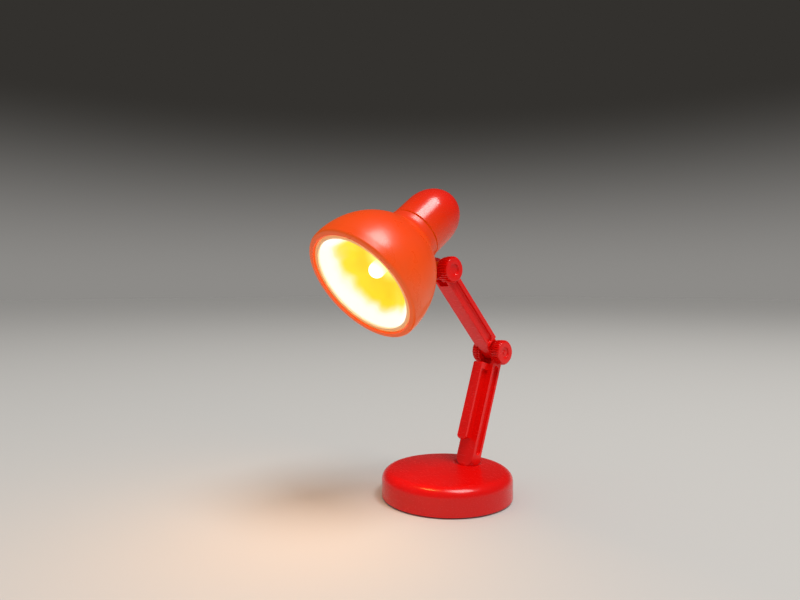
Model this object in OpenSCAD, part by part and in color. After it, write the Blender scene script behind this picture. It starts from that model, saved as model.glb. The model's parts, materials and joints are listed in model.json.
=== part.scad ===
// Mini table lamp with a jointed arm, a bell shade and a twist cap that holds the button cells.
// Millimetres. +Z is up, the light shines towards -Y, and the hinge axes run along X.
// The origin is on the table, at the centre of the round base.

/* [Base] */
// Diameter of the round base
base_d = 43; // [40:0.5:60]
// Height of the base at its centre
base_h = 9.4; // [8.8:0.1:14]
// Rounding between the side and the top
base_edge = 3.2; // [1.5:0.1:3.6]
// Rise of the crowned top above its rounded edge
base_crown = 0.4; // [0.1:0.1:0.8]
// Wall of the base shell
base_wall = 1.8; // [1.2:0.1:2.4]
// Thickness of the bottom plate
plate_t = 1.5; // [1.3:0.1:2]
// Gap between the shell's rim and the table
rim_lift = 0.3; // [0.1:0.1:0.8]
// Thickness of the steel ballast
weight_t = 4.5; // [2:0.1:5]
// Number of screws through the bottom plate
base_screw_count = 3; // [3:1:5]
// Diameter of a screw boss inside the base
boss_d = 4.4; // [3.6:0.1:5]

/* [Swivel foot] */
// Distance of the arm's foot behind the base centre
foot_back = 10; // [7:0.1:10.5]
// Diameter of the shallow seat in the base top
seat_d = 10.4; // [9.5:0.1:12]
// Depth of the seat below the crown
seat_depth = 0.6; // [0.3:0.05:0.8]
// Diameter of the arm's round foot
foot_d = 6.9; // [6.2:0.1:8.5]
// Height of the round foot above the seat
foot_h = 2.2; // [1.6:0.1:3]
// Diameter of the peg that turns in the base
peg_d = 5; // [4:0.1:5.4]
// Thickness of the hub under the seat
hub_t = 2.6; // [2:0.1:3]
// Diameter of the retaining washer
swivel_washer_d = 8; // [7:0.1:9]

/* [Lower arm] */
// Length from the foot to the elbow axis
lower_len = 38.9; // [34:0.1:48]
// Backward lean of the lower arm from vertical
lower_lean = 19; // [10:0.5:25]
// Width of the lower arm along the hinge axis
lower_w = 7.1; // [6.8:0.1:7.6]
// Depth of the rear bar, front to back
lower_depth = 4.2; // [3.6:0.1:5]
// Width of the groove along each side
lower_groove_w = 2.4; // [1.6:0.1:2.8]
// Width of the front rail
rail_w = 3.7; // [3:0.1:4.6]
// Reach of the front rail ahead of the rear bar
rail_reach = 4; // [3:0.1:4.4]
// Thickness of the rail's front strip
rail_strip = 0.9; // [0.7:0.1:1.3]
// Height of the rail's free lower end along the arm
rail_start = 6.8; // [5:0.1:10]
// Gap from the rail's upper end to the elbow axis
rail_gap = 5; // [4.6:0.1:6]
// Length of the solid block at the rail's upper end
rail_block = 2.3; // [1.5:0.1:4]

/* [Upper arm] */
// Length from the elbow axis to the head axis
upper_len = 38; // [32:0.1:46]
// Forward lean of the upper arm from vertical
upper_lean = 42; // [30:0.5:46]
// Width of the upper arm along the hinge axis
upper_w = 6; // [5.4:0.1:6.6]
// Depth of the upper arm, front to back
upper_depth = 5.3; // [4.6:0.1:5.8]
// Width of the groove along each side
upper_groove_w = 2.6; // [1.8:0.1:3]
// Depth of the side grooves of both arms
groove_depth = 0.9; // [0.4:0.1:1.2]

/* [Joints and knobs] */
// Thickness of each fork ear
ear_t = 1.1; // [0.9:0.1:1.3]
// Diameter of the round end of the head fork
head_ear_d = 6.4; // [5.6:0.1:7]
// Depth of the elbow fork below its axis
elbow_fork = 4.8; // [4.4:0.1:5.4]
// Depth of the head fork below its axis
head_fork = 6.2; // [6:0.1:7.5]
// Thickness of the friction washers
washer_t = 0.3; // [0.2:0.05:0.4]
// Diameter of the knurled knobs
knob_d = 8.6; // [8:0.1:9.6]
// Distance across the two knob faces
knob_span = 11.9; // [11.5:0.1:14]
// Number of knurl teeth round a knob
knob_teeth = 30; // [20:1:40]
// Depth of the knurl teeth
tooth_depth = 0.28; // [0.15:0.01:0.4]
// Bevel round a knob's outer face
knob_bevel = 0.6; // [0.3:0.05:0.8]
// Diameter of the dish in a knob's face
dish_d = 3.7; // [2.8:0.1:4.4]
// Depth of the dish
dish_depth = 0.4; // [0.2:0.05:0.5]
// Diameter of the joint bolts
bolt_d = 2.4; // [2:0.1:2.6]
// Width across the flats of the bolt heads and nuts
nut_af = 4; // [3.6:0.1:4.4]
// Thickness of the bolt heads and nuts
nut_t = 1.2; // [1:0.1:1.4]

/* [Shade] */
// Downward tilt of the head from horizontal
head_tilt = 37.5; // [25:0.5:50]
// Diameter of the mouth's rim
mouth_d = 39.2; // [38.4:0.1:39.6]
// Largest diameter of the bell
bell_d = 39.6; // [39.4:0.1:43]
// Distance from the mouth to the bell's widest ring
skirt_len = 2.5; // [2:0.1:4]
// Length of the ellipse that the bell's crown follows
crown_len = 23; // [22:0.1:26]
// Angle on that ellipse where the flare to the neck starts
flare_angle = 53.5; // [51:0.5:54]
// Diameter of the neck at the seam
neck_d = 18.6; // [18:0.1:19.4]
// Wall of the shade
shade_wall = 1.7; // [1.2:0.1:2]
// Distance of the head axis behind the seam
pivot_back = 3.4; // [2.6:0.1:4.4]
// Distance of the head axis below the shade's axis
pivot_drop = 16.1; // [15:0.1:18]

/* [Twist cap] */
// Diameter of the cap
cap_d = 18.2; // [18:0.1:19]
// Length of the cap's straight side
cap_side = 8.2; // [7:0.1:11]
// Length of the cap's domed end
cap_dome = 11.6; // [9:0.1:14]
// Wall of the cap
cap_wall = 1.3; // [1.1:0.05:1.4]
// Width of the seam between the shade and the cap
seam = 0.25; // [0.15:0.05:0.4]
// Length of the collar that the cap turns on
collar_len = 6; // [5:0.1:8]

/* [Light and cells] */
// Outer diameter of the reflector's flange
flange_d = 35.2; // [34.6:0.1:35.6]
// Width of the reflector's flange
flange_w = 1.3; // [1:0.1:2]
// Wall of the reflector
reflector_wall = 0.9; // [0.7:0.05:1.2]
// Distance of the flange behind the mouth's rim
flange_inset = 0.5; // [0.2:0.1:1]
// Distance of the reflector's floor behind the mouth
reflector_depth = 12.4; // [11:0.1:13]
// Diameter of the light-emitting diode
led_d = 5; // [4:0.1:5.2]
// Length of the diode in front of its flange
led_len = 7.7; // [6:0.1:8.6]
// Diameter of a button cell
cell_d = 11.6; // [11:0.1:11.8]
// Thickness of a button cell
cell_t = 5.4; // [4:0.1:5.6]
// Number of button cells
cell_count = 3; // [2:1:3]
// Wall of the cell holder
holder_wall = 0.8; // [0.7:0.05:0.9]

/* [Hidden] */
$fn = 96;
// Clearances: a turning fit, a loose fit, and the play left beside a flat face
turning = 0.06;
loose = 0.1;
play = 0.05;
// A broken edge, and the depth by which joined shapes run into each other
edge_break = 0.25;
merge = 0.4;
// Steps of a quarter turn in the turned outlines
steps = 14;

// Base
base_r = base_d / 2;
base_top = base_h - base_crown;
base_inner_r = base_r - base_wall;
ceiling = base_top - base_wall;
boss_r = boss_d / 2;
boss_circle = base_inner_r - boss_r - merge;
base_screw_r = 0.8;
base_screw_head_r = 1.9;
base_screw_head_t = 0.7;
base_screw_sink = 0.85;
base_screw_tip = ceiling - 1.2;
weight_r = boss_circle - boss_r - merge;

// Swivel foot
seat_z = base_h - seat_depth;
hub_z = seat_z - hub_t;
peg_r = peg_d / 2;
hub_r = seat_d / 2;
swivel_washer_t = 0.6;
swivel_washer_z = hub_z - play - swivel_washer_t;
swivel_screw_r = 0.9;
swivel_head_r = 2.1;
swivel_head_t = 1.1;
swivel_screw_reach = 3.5;
notch_r = swivel_washer_d / 2 + 0.6;

// Arm grooves: room left at their ends, and the upper groove's place off the arm's middle line
groove_gap = 0.8;
groove_shift = 0.3;
rail_corner = 0.8;

// Joint axes
elbow_y = foot_back + lower_len * sin(lower_lean);
elbow_z = base_h + lower_len * cos(lower_lean);
head_y = elbow_y - upper_len * sin(upper_lean);
head_z = elbow_z + upper_len * cos(upper_lean);

// Forks: inner faces, and the tongue or lug between them
elbow_ear_d = knob_d - 0.2;
elbow_ear_x = lower_w / 2 - ear_t;
head_ear_x = upper_w / 2 - ear_t;
tongue_w = 2 * (elbow_ear_x - washer_t - play);
lug_w = 2 * (head_ear_x - washer_t - play);
tongue_clear = elbow_ear_d / 2 + 0.6;
lug_r = head_ear_d / 2;
lug_lap = 1;
bolt_r = bolt_d / 2;
nut_r = nut_af / 2 / cos(30);
knob_face = knob_span / 2;
elbow_knob_x = lower_w / 2 + play;
head_knob_x = upper_w / 2 + play;
washer_r = bolt_r + 1.3;

// Shade: the bell's ellipse, the concave flare to the neck, and the seam
bell_r = bell_d / 2;
neck_r = neck_d / 2;
flare_r = bell_r * cos(flare_angle);
flare_s = skirt_len + crown_len * sin(flare_angle);
flare_slope = atan(bell_r / crown_len * tan(flare_angle));
flare_arc = (flare_r - neck_r) / (1 - cos(flare_slope));
neck_land = 0.15;
seam_s = flare_s + flare_arc * sin(flare_slope) + neck_land;
pivot_s = seam_s + pivot_back;
mouth_y = head_y - pivot_s * cos(head_tilt) - pivot_drop * sin(head_tilt);
mouth_z = head_z - pivot_s * sin(head_tilt) + pivot_drop * cos(head_tilt);

// Head interior, as distances from the mouth along the axis
flange_r = flange_d / 2;
flange_t = 0.9;
ledge_s = flange_inset + flange_t;
ledge_r = flange_r - 0.5;
bowl_r = flange_r - flange_w;
hub_hole_r = led_d / 2 + loose;
reflector_hub_r = led_d / 2 + 2;
led_flange_r = led_d / 2 + 0.4;
led_flange_t = 1;
led_flange_s = reflector_depth + reflector_wall + play;
led_base_s = led_flange_s + led_flange_t;
lead_r = 0.25;
lead_pitch = 2.54;
board_s = led_base_s + 0.5;
board_t = 1;
cell_r = cell_d / 2;
holder_r = cell_r + loose + holder_wall;
bore_r = holder_r + loose;
board_r = holder_r - 0.7;
holder_flange_r = holder_r + 1.7;
holder_floor_s = board_s + board_t;
holder_floor_t = 1.2;
holder_floor_end = holder_floor_s + holder_floor_t;
contact_t = 0.3;
contact_r = cell_r - 0.8;
contact_pip_r = 1.4;
cells_s = holder_floor_end + contact_t + play;
cells_end = cells_s + cell_count * cell_t + (cell_count - 1) * play;
hollow_r = bell_r - shade_wall;
hollow_len = crown_len - shade_wall;
hollow_angle = acos((holder_flange_r + 0.6) / hollow_r);
shoulder_s = skirt_len + hollow_len * sin(hollow_angle);
holder_flange_t = 1.2;
collar_r = cap_d / 2 - cap_wall - turning;
collar_s = seam_s + collar_len;
holder_end = collar_s - 1;

// Twist cap
cap_r = cap_d / 2;
cap_s = seam_s + seam;
cap_dome_s = cap_s + cap_side;
cap_contact_s = cells_end + 0.15;
cap_contact_cup = 1.4;
cap_contact_r = 4.6;
cap_post_r = 3.4;
cap_post_s = cap_contact_s + cap_contact_cup + contact_t;

lamp_red = "#d5100f";
pale = "#f4ead6";
steel = "#b9bcc0";
brass = "#c9a24a";

// Points on an ellipse about [x, y], from angle a to angle b
function oval(x, y, rx, ry, a, b, n = steps) =
    [for (i = [0:n]) let (t = a + (b - a) * i / n) [x + rx * cos(t), y + ry * sin(t)]];

// Turns a side-view outline, drawn as [y, z], into a plate of width w centred on x = 0
module plate(w) {
    rotate([90, 0, 90]) linear_extrude(w, center = true) children();
}

// A rod along X from x0 to x1
module rod(r, x0, x1, sides = 96) {
    translate([x0, 0, 0]) rotate([0, 90, 0]) cylinder(r = r, h = x1 - x0, $fn = sides);
}

// A straight slot with round ends, of width w, from y0 to y1
module slot(w, y0, y1) {
    translate([-w / 2, y0 + w / 2]) square([w, y1 - y0 - w]);
    for (y = [y0 + w / 2, y1 - w / 2]) translate([0, y]) circle(w / 2);
}

// A cross-shaped recess in the underside of a screw head of radius r
module cross_recess(r, depth) {
    for (turn = [0, 90]) rotate(turn) cube([1.2 * r, 0.3 * r, 2 * depth], center = true);
}

// Frames: each arm's own Y runs up the arm, the head's own Z runs from the mouth inwards
module at_lower_arm() {
    translate([foot_back, base_h]) rotate(-lower_lean) children();
}
module at_upper_arm() {
    translate([elbow_y, elbow_z]) rotate(upper_lean) children();
}
module at_elbow() {
    translate([0, elbow_y, elbow_z]) children();
}
module at_head_axis() {
    translate([0, head_y, head_z]) children();
}
module at_head() {
    translate([0, mouth_y, mouth_z]) rotate([head_tilt - 90, 0, 0]) children();
}
module at_leads() {
    for (side = [-1, 1]) translate([side * lead_pitch / 2, 0, led_base_s]) children();
}
module at_base_screws() {
    for (i = [0:base_screw_count - 1])
        rotate(-90 + i * 360 / base_screw_count) translate([boss_circle, 0, 0]) children();
}
module at_foot() {
    translate([0, foot_back, 0]) children();
}

// Base
module base_shell() {
    outline = concat(
        [[0, base_h]],
        [for (i = [1:steps]) let (r = (base_r - base_edge) * i / steps)
            [r, base_h - base_crown * pow(r / (base_r - base_edge), 2)]],
        oval(base_r - base_edge, base_top - base_edge, base_edge, base_edge, 84, 0),
        [[base_r, rim_lift], [base_inner_r, rim_lift], [base_inner_r, ceiling - base_edge / 2]],
        oval(base_inner_r - base_edge / 2, ceiling - base_edge / 2, base_edge / 2, base_edge / 2, 6, 90, 6),
        [[0, ceiling]]
    );
    color(lamp_red) difference() {
        union() {
            rotate_extrude() polygon(outline);
            at_base_screws() translate([0, 0, plate_t]) cylinder(r = boss_r, h = ceiling + merge - plate_t);
            at_foot() translate([0, 0, hub_z]) cylinder(r = hub_r, h = ceiling + merge - hub_z);
        }
        at_foot() {
            translate([0, 0, seat_z]) cylinder(d = seat_d, h = base_h);
            translate([0, 0, hub_z - 1]) cylinder(r = peg_r + turning, h = base_h);
        }
        at_base_screws() cylinder(r = base_screw_r + play, h = base_screw_tip + merge);
    }
}

module base_plate() {
    color(lamp_red) difference() {
        cylinder(r = base_inner_r - loose, h = plate_t);
        at_base_screws() {
            translate([0, 0, -1]) cylinder(r = base_screw_r + loose, h = plate_t + 2);
            translate([0, 0, -1]) cylinder(r = base_screw_head_r + loose, h = base_screw_sink + 1);
        }
    }
}

module base_weight() {
    color(steel) difference() {
        translate([0, 0, plate_t]) cylinder(r = weight_r, h = weight_t);
        at_foot() {
            cylinder(r = notch_r, h = base_h);
            translate([-notch_r, 0, 0]) cube([2 * notch_r, base_r, base_h]);
        }
    }
}

module base_screws() {
    color(steel) at_base_screws() {
        translate([0, 0, base_screw_sink - base_screw_head_t]) difference() {
            cylinder(r = base_screw_head_r, h = base_screw_head_t);
            cross_recess(base_screw_head_r, base_screw_head_t / 2);
        }
        translate([0, 0, base_screw_sink - merge])
            cylinder(r = base_screw_r, h = base_screw_tip - base_screw_sink + merge);
    }
}

// Lower arm: the rear bar with its fork, the front rail, and the foot that turns in the base
module lower_arm() {
    bar_end = lower_len - elbow_fork;
    front = -lower_depth / 2;
    rail_end = lower_len - rail_gap;
    rail_front = front - rail_reach;
    color(lamp_red) difference() {
        union() {
            difference() {
                plate(lower_w) at_lower_arm() {
                    translate([front, -foot_h]) square([lower_depth, lower_len + foot_h]);
                    translate([0, lower_len]) knurl(elbow_ear_d);
                }
                plate(2 * elbow_ear_x) at_lower_arm()
                    translate([-elbow_ear_d, bar_end]) square([2 * elbow_ear_d, elbow_fork + elbow_ear_d]);
                for (side = [-1, 1]) translate([side * lower_w / 2, 0, 0])
                    plate(2 * groove_depth) at_lower_arm()
                        slot(lower_groove_w, foot_h + groove_gap, lower_len - elbow_ear_d / 2 - groove_gap);
                at_foot() translate([-base_r, -base_r, 0]) cube([base_d, base_d, seat_z + foot_h / 2]);
            }
            plate(rail_w) at_lower_arm() {
                rail(rail_start, rail_end, rail_front, rail_front + rail_strip);
                translate([rail_front, rail_end - rail_block]) square([rail_reach + merge, rail_block]);
            }
            plate(rail_w - 2 * groove_depth) at_lower_arm()
                rail(rail_start + rail_strip, rail_end - merge, rail_front + rail_strip / 2, front + merge);
            at_foot() {
                translate([0, 0, seat_z + play]) cylinder(d = foot_d, h = foot_h - play);
                translate([0, 0, hub_z - play / 2]) cylinder(r = peg_r, h = hub_t + foot_h / 2);
            }
        }
        at_elbow() rod(bolt_r + play, -lower_w, lower_w);
        at_foot() translate([0, 0, hub_z - merge])
            cylinder(r = swivel_screw_r + play, h = swivel_screw_reach + 2 * merge);
    }
}

// A strip of the rail between two depths, with its lower front corner rounded
module rail(y0, y1, x0, x1) {
    corner = min(x1 - x0, rail_corner);
    polygon(concat(
        [[x1, y0], [x1, y1], [x0, y1]],
        oval(x0 + corner, y0 + corner, corner, corner, 180, 270, 4)
    ));
}

module swivel_washer() {
    color(steel) at_foot() translate([0, 0, swivel_washer_z]) difference() {
        cylinder(d = swivel_washer_d, h = swivel_washer_t);
        translate([0, 0, -1]) cylinder(r = swivel_screw_r + loose, h = swivel_washer_t + 2);
    }
}

module swivel_screw() {
    head_z0 = swivel_washer_z - swivel_head_t;
    color(steel) at_foot() {
        translate([0, 0, head_z0]) difference() {
            cylinder(r = swivel_head_r, h = swivel_head_t);
            cross_recess(swivel_head_r, swivel_head_t / 2);
        }
        translate([0, 0, swivel_washer_z - merge])
            cylinder(r = swivel_screw_r, h = hub_z + swivel_screw_reach - swivel_washer_z + merge);
    }
}

// Upper arm: a grooved bar with a tongue at the elbow and a fork at the head
module upper_arm() {
    half = upper_depth / 2;
    fork_y = upper_len - head_fork;
    color(lamp_red) difference() {
        union() {
            plate(tongue_w) at_upper_arm() {
                circle(r = half);
                translate([-half, 0]) square([upper_depth, tongue_clear + 1]);
            }
            plate(upper_w) at_upper_arm() {
                translate([-half, tongue_clear]) square([upper_depth, upper_len - tongue_clear]);
                translate([0, upper_len]) circle(d = head_ear_d);
            }
        }
        plate(2 * head_ear_x) at_upper_arm()
            translate([-head_ear_d, fork_y]) square([2 * head_ear_d, head_fork + head_ear_d]);
        for (side = [-1, 1]) translate([side * upper_w / 2, 0, 0])
            plate(2 * groove_depth) at_upper_arm()
                translate([-groove_shift, 0])
                    slot(upper_groove_w, tongue_clear + groove_gap, upper_len - knob_d / 2 - groove_shift);
        at_elbow() rod(bolt_r + turning, -upper_w, upper_w);
        at_head_axis() rod(bolt_r + play, -upper_w, upper_w);
    }
}

// The outline of a knurled disc of diameter d
module knurl(d) {
    polygon([for (i = [0:2 * knob_teeth - 1])
        let (r = d / 2 - (i % 2) * tooth_depth, t = 180 * i / knob_teeth)
        [r * cos(t), r * sin(t)]]);
}

// A knurled knob on the +X side, from x0 to the shared knob face, with a hexagon pocket behind
module knob(x0, boss) {
    r = knob_d / 2;
    height = knob_face - x0;
    profile = [
        [0, 0], [r - edge_break, 0], [r + merge, edge_break + merge],
        [r + merge, height - knob_bevel - merge], [r - knob_bevel, height], [0, height]
    ];
    color(lamp_red) translate([x0, 0, 0]) rotate([0, 90, 0]) difference() {
        intersection() {
            linear_extrude(height) knurl(knob_d);
            rotate_extrude() polygon(profile);
        }
        translate([0, 0, -1]) cylinder(r = nut_r + play, h = nut_t + play + 1, $fn = 6);
        difference() {
            translate([0, 0, height - dish_depth]) cylinder(d = dish_d, h = 1);
            if (boss) cylinder(d = dish_d / 3, h = height - dish_depth / 2);
        }
    }
}

// A bolt along X with its hexagon head at -X, and a nut at +X, both outside ears that end at x0
module bolt(x0) {
    color(steel) {
        rod(nut_r, -x0 - nut_t, -x0, 6);
        rod(bolt_r, -x0 - nut_t / 2, x0 + nut_t);
    }
}
module nut(x0) {
    color(steel) difference() {
        rod(nut_r, x0, x0 + nut_t, 6);
        rod(bolt_r + turning, 0, x0 + 2 * nut_t);
    }
}
module washers(x0) {
    color(steel) for (side = [-1, 1]) mirror([side < 0 ? 1 : 0, 0, 0]) difference() {
        rod(washer_r, x0 - washer_t - play / 2, x0 - play / 2);
        rod(bolt_r + loose, 0, 2 * x0);
    }
}

module elbow_bolt() {
    at_elbow() bolt(elbow_knob_x);
}
module elbow_nut() {
    at_elbow() nut(elbow_knob_x);
}
module elbow_knob_right() {
    at_elbow() knob(elbow_knob_x, true);
}
module elbow_knob_left() {
    at_elbow() mirror([1, 0, 0]) knob(elbow_knob_x, true);
}
module elbow_washers() {
    at_elbow() washers(elbow_ear_x);
}
module head_bolt() {
    at_head_axis() bolt(head_knob_x);
}
module head_nut() {
    at_head_axis() nut(head_knob_x);
}
module head_knob_right() {
    at_head_axis() knob(head_knob_x, false);
}
module head_knob_left() {
    at_head_axis() mirror([1, 0, 0]) knob(head_knob_x, false);
}
module head_washers() {
    at_head_axis() washers(head_ear_x);
}

// Shade: a turned bell with the collar for the cap, and a lug to the head axis
module shade() {
    mouth_r = mouth_d / 2;
    lip = 0.6;
    outer = concat(
        [[0, 0]],
        oval(mouth_r - lip, lip, lip, lip, -90, 0, 4),
        oval(0, skirt_len, bell_r, crown_len, 0, flare_angle),
        [for (i = [1:steps]) let (t = flare_slope * (1 - i / steps))
            [neck_r + flare_arc * (1 - cos(t)), seam_s - neck_land - flare_arc * sin(t)]],
        [[neck_r, seam_s], [collar_r, seam_s], [collar_r, collar_s], [0, collar_s]]
    );
    ledge_angle = acos(ledge_r / hollow_r);
    hollow = concat(
        [[0, -1], [flange_r + loose, -1], [flange_r + loose, ledge_s], [ledge_r, ledge_s]],
        oval(0, skirt_len, hollow_r, hollow_len, ledge_angle, hollow_angle),
        [[bore_r, shoulder_s], [bore_r, collar_s + 1], [0, collar_s + 1]]
    );
    color(lamp_red) difference() {
        at_head() {
            rotate_extrude() polygon(outer);
            lug();
        }
        at_head() rotate_extrude() polygon(hollow);
        at_head_axis() rod(bolt_r + turning, -upper_w, upper_w);
    }
}

// The lug, in the head's frame: a tapered web from the back of the bell to a round end
module lug() {
    diagonal = lug_r * cos(45);
    plate(lug_w) {
        translate([pivot_drop, pivot_s]) circle(lug_r);
        polygon([
            [pivot_drop + diagonal, pivot_s - diagonal],
            [pivot_drop - diagonal, pivot_s + diagonal],
            [neck_r + lug_lap, seam_s - lug_lap / 2],
            [neck_r - lug_lap, seam_s - lug_lap],
            [flare_r - lug_lap, flare_s - 2 * lug_lap],
            [flare_r + lug_lap, flare_s - 1.5 * lug_lap]
        ]);
    }
}

// Reflector: a parabolic bowl with a flat flange at the mouth and a hub round the diode
module reflector() {
    rim_s = ledge_s;
    drop = reflector_depth - rim_s;
    reach = pow(bowl_r, 2) - pow(reflector_hub_r, 2);
    inside = [for (i = [0:steps]) let (r = bowl_r + (reflector_hub_r - bowl_r) * i / steps)
        [r, rim_s + drop * (pow(bowl_r, 2) - pow(r, 2)) / reach]];
    outside = [for (i = [steps:-1:0]) inside[i] + [reflector_wall / 4, reflector_wall]];
    color(pale) at_head() rotate_extrude() polygon(concat(
        [[flange_r, flange_inset], [bowl_r, flange_inset]],
        inside,
        [[hub_hole_r, reflector_depth], [hub_hole_r, reflector_depth + reflector_wall]],
        outside,
        [[bowl_r + reflector_wall / 2, ledge_s], [flange_r, ledge_s]]
    ));
}

module led() {
    r = led_d / 2;
    tip = led_flange_s - led_len;
    color("#fff3c8") at_head() rotate_extrude() polygon(concat(
        oval(0, tip + r, r, r, -90, 0, 10),
        [[r, led_flange_s], [led_flange_r, led_flange_s], [led_flange_r, led_base_s], [0, led_base_s]]
    ));
}

module led_leads() {
    color(steel) at_head() at_leads() cylinder(r = lead_r, h = board_s + board_t - led_base_s);
}

module led_board() {
    color("#2f6b3a") at_head() difference() {
        translate([0, 0, board_s]) cylinder(r = board_r, h = board_t);
        at_leads() cylinder(r = lead_r + play, h = board_s + 2 * board_t - led_base_s);
    }
}

module battery_holder() {
    color("#3a3a3c") at_head() rotate_extrude() polygon([
        [board_r + loose, board_s], [holder_r, board_s], [holder_r, shoulder_s - holder_flange_t],
        [holder_flange_r, shoulder_s - holder_flange_t], [holder_flange_r, shoulder_s],
        [holder_r, shoulder_s], [holder_r, holder_end], [cell_r + loose, holder_end],
        [cell_r + loose, holder_floor_end], [contact_pip_r + loose, holder_floor_end],
        [contact_pip_r + loose, holder_floor_s], [board_r + loose, holder_floor_s]
    ]);
}

module front_contact() {
    color(brass) at_head() {
        translate([0, 0, holder_floor_end]) cylinder(r = contact_r, h = contact_t);
        translate([0, 0, holder_floor_s]) cylinder(r = contact_pip_r, h = holder_floor_t + contact_t / 2);
    }
}

module button_cells() {
    chamfer = 0.4;
    step_r = cell_r - 1.2;
    color(steel) at_head() for (i = [0:cell_count - 1])
        translate([0, 0, cells_s + i * (cell_t + play)]) rotate_extrude() polygon([
            [0, 0], [step_r - chamfer / 2, 0], [step_r, chamfer], [cell_r - chamfer, chamfer],
            [cell_r, 2 * chamfer], [cell_r, cell_t - chamfer / 2], [cell_r - chamfer / 2, cell_t],
            [0, cell_t]
        ]);
}

// Twist cap: a domed cap on the collar, with the post that carries the rear contact
module twist_cap() {
    inner_r = cap_r - cap_wall;
    inner_dome = cap_dome - cap_wall;
    post_end = cap_dome_s + inner_dome * sin(acos(cap_post_r / inner_r)) + cap_wall / 2;
    color(lamp_red) at_head() {
        rotate_extrude() polygon(concat(
            [[inner_r, cap_s], [cap_r - edge_break, cap_s], [cap_r, cap_s + edge_break]],
            oval(0, cap_dome_s, cap_r, cap_dome, 0, 90),
            oval(0, cap_dome_s, inner_r, inner_dome, 90, 0)
        ));
        translate([0, 0, cap_post_s]) cylinder(r = cap_post_r, h = post_end - cap_post_s);
    }
}

module cap_contact() {
    cup_r = 2.4;
    cup_top_r = 2.9;
    back = cap_contact_s + cap_contact_cup;
    color(brass) at_head() rotate_extrude() polygon([
        [0, cap_contact_s], [cup_r, cap_contact_s], [cup_top_r, back], [cap_contact_r, back],
        [cap_contact_r, back + contact_t], [cup_top_r - contact_t, back + contact_t],
        [cup_r - contact_t, cap_contact_s + contact_t], [0, cap_contact_s + contact_t]
    ]);
}

base_shell();
base_plate();
base_weight();
base_screws();
lower_arm();
swivel_washer();
swivel_screw();
elbow_bolt();
elbow_nut();
elbow_knob_right();
elbow_knob_left();
elbow_washers();
upper_arm();
head_bolt();
head_nut();
head_knob_right();
head_knob_left();
head_washers();
shade();
reflector();
led();
led_leads();
led_board();
battery_holder();
front_contact();
button_cells();
twist_cap();
cap_contact();
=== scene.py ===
"""Dresses the mini table lamp in its moulded, turned and lit finishes, and sets it on a pale studio floor.

Sizes are in millimetres until they reach a mesh. Joint axes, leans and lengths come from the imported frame.
"""

import json
import logging
import math
from collections.abc import Sequence
from dataclasses import dataclass, field
from enum import Enum
from functools import partial

import bmesh
import bpy
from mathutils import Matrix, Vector

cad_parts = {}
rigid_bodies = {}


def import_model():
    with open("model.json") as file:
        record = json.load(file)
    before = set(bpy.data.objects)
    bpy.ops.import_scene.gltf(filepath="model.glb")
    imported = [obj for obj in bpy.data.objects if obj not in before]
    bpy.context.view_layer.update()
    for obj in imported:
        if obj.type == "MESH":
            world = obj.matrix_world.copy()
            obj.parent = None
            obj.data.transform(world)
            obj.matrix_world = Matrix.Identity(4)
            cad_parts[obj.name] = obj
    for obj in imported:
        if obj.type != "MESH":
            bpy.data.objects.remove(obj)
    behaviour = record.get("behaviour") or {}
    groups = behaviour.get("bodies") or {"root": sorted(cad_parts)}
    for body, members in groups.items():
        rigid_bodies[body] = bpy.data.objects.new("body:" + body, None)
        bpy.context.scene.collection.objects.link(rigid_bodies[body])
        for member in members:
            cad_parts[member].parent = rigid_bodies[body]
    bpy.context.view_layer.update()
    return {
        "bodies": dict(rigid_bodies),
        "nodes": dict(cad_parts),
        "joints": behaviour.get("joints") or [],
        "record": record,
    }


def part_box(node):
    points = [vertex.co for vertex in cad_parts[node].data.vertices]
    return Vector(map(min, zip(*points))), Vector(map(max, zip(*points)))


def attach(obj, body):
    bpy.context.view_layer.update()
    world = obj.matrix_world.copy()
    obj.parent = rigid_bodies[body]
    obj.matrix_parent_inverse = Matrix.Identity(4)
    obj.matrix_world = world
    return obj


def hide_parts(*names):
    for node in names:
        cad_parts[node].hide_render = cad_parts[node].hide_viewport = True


MM = 0.001
LOG = logging.getLogger("mini_table_lamp")

Point = tuple[float, float]
Triple = tuple[float, float, float]
Piece = bpy.types.Object
Finish = bpy.types.Material
Tree = bpy.types.NodeTree
Socket = bpy.types.NodeSocket

# Points nearer than this, in metres, are one point
WELD = MM * 1e-3
# A hair's overlap, so that no two faces of shapes that are combined lie flush
HAIR = 0.02
# Heights that differ by less than this count as the same
SLACK = 0.01
# How far a cutter runs past a wall, and past a whole arm
OVER = 1.0
CLEAR = 9.0
# Edges sharper than this, in degrees, are rounded
EDGE_ANGLE = 32.0
# Share of a groove's half width by which its ends are rounded
GROOVE_ROUND = 0.98
# Nearly all of a noise texture lies between these
NOISE_LOW, NOISE_HIGH = 0.3, 0.7
BLACK = "#000000"
# Node settings that repeat: a Mix of colours, and a Map Range that eases in and out
COLOURS = {"data_type": "RGBA"}
EASED = {"interpolation_type": "SMOOTHSTEP"}


class Slot(Enum):
    """Material slots of the record."""

    RED = "red_abs"
    WHITE = "white_reflector"
    LED = "led_epoxy"
    STEEL = "steel"
    BRASS = "brass"
    DARK = "black_plastic"
    BOARD = "circuit_board"


class Join(Enum):
    """Ways to combine two closed shapes."""

    FUSE = "UNION"
    CUT = "DIFFERENCE"
    KEEP = "INTERSECT"


class Side(Enum):
    """The two ends of a hinge bolt, with the turn about the vertical that faces a knob that way."""

    RIGHT = 0.0
    LEFT = math.pi


# Bench: selecting, adding primitives, spinning, combining and rounding


def deselect() -> None:
    """Leaves edit mode and deselects every object."""
    active = bpy.context.view_layer.objects.active
    if active and active.mode != "OBJECT":
        bpy.ops.object.mode_set(mode="OBJECT")
    bpy.ops.object.select_all(action="DESELECT")


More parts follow.
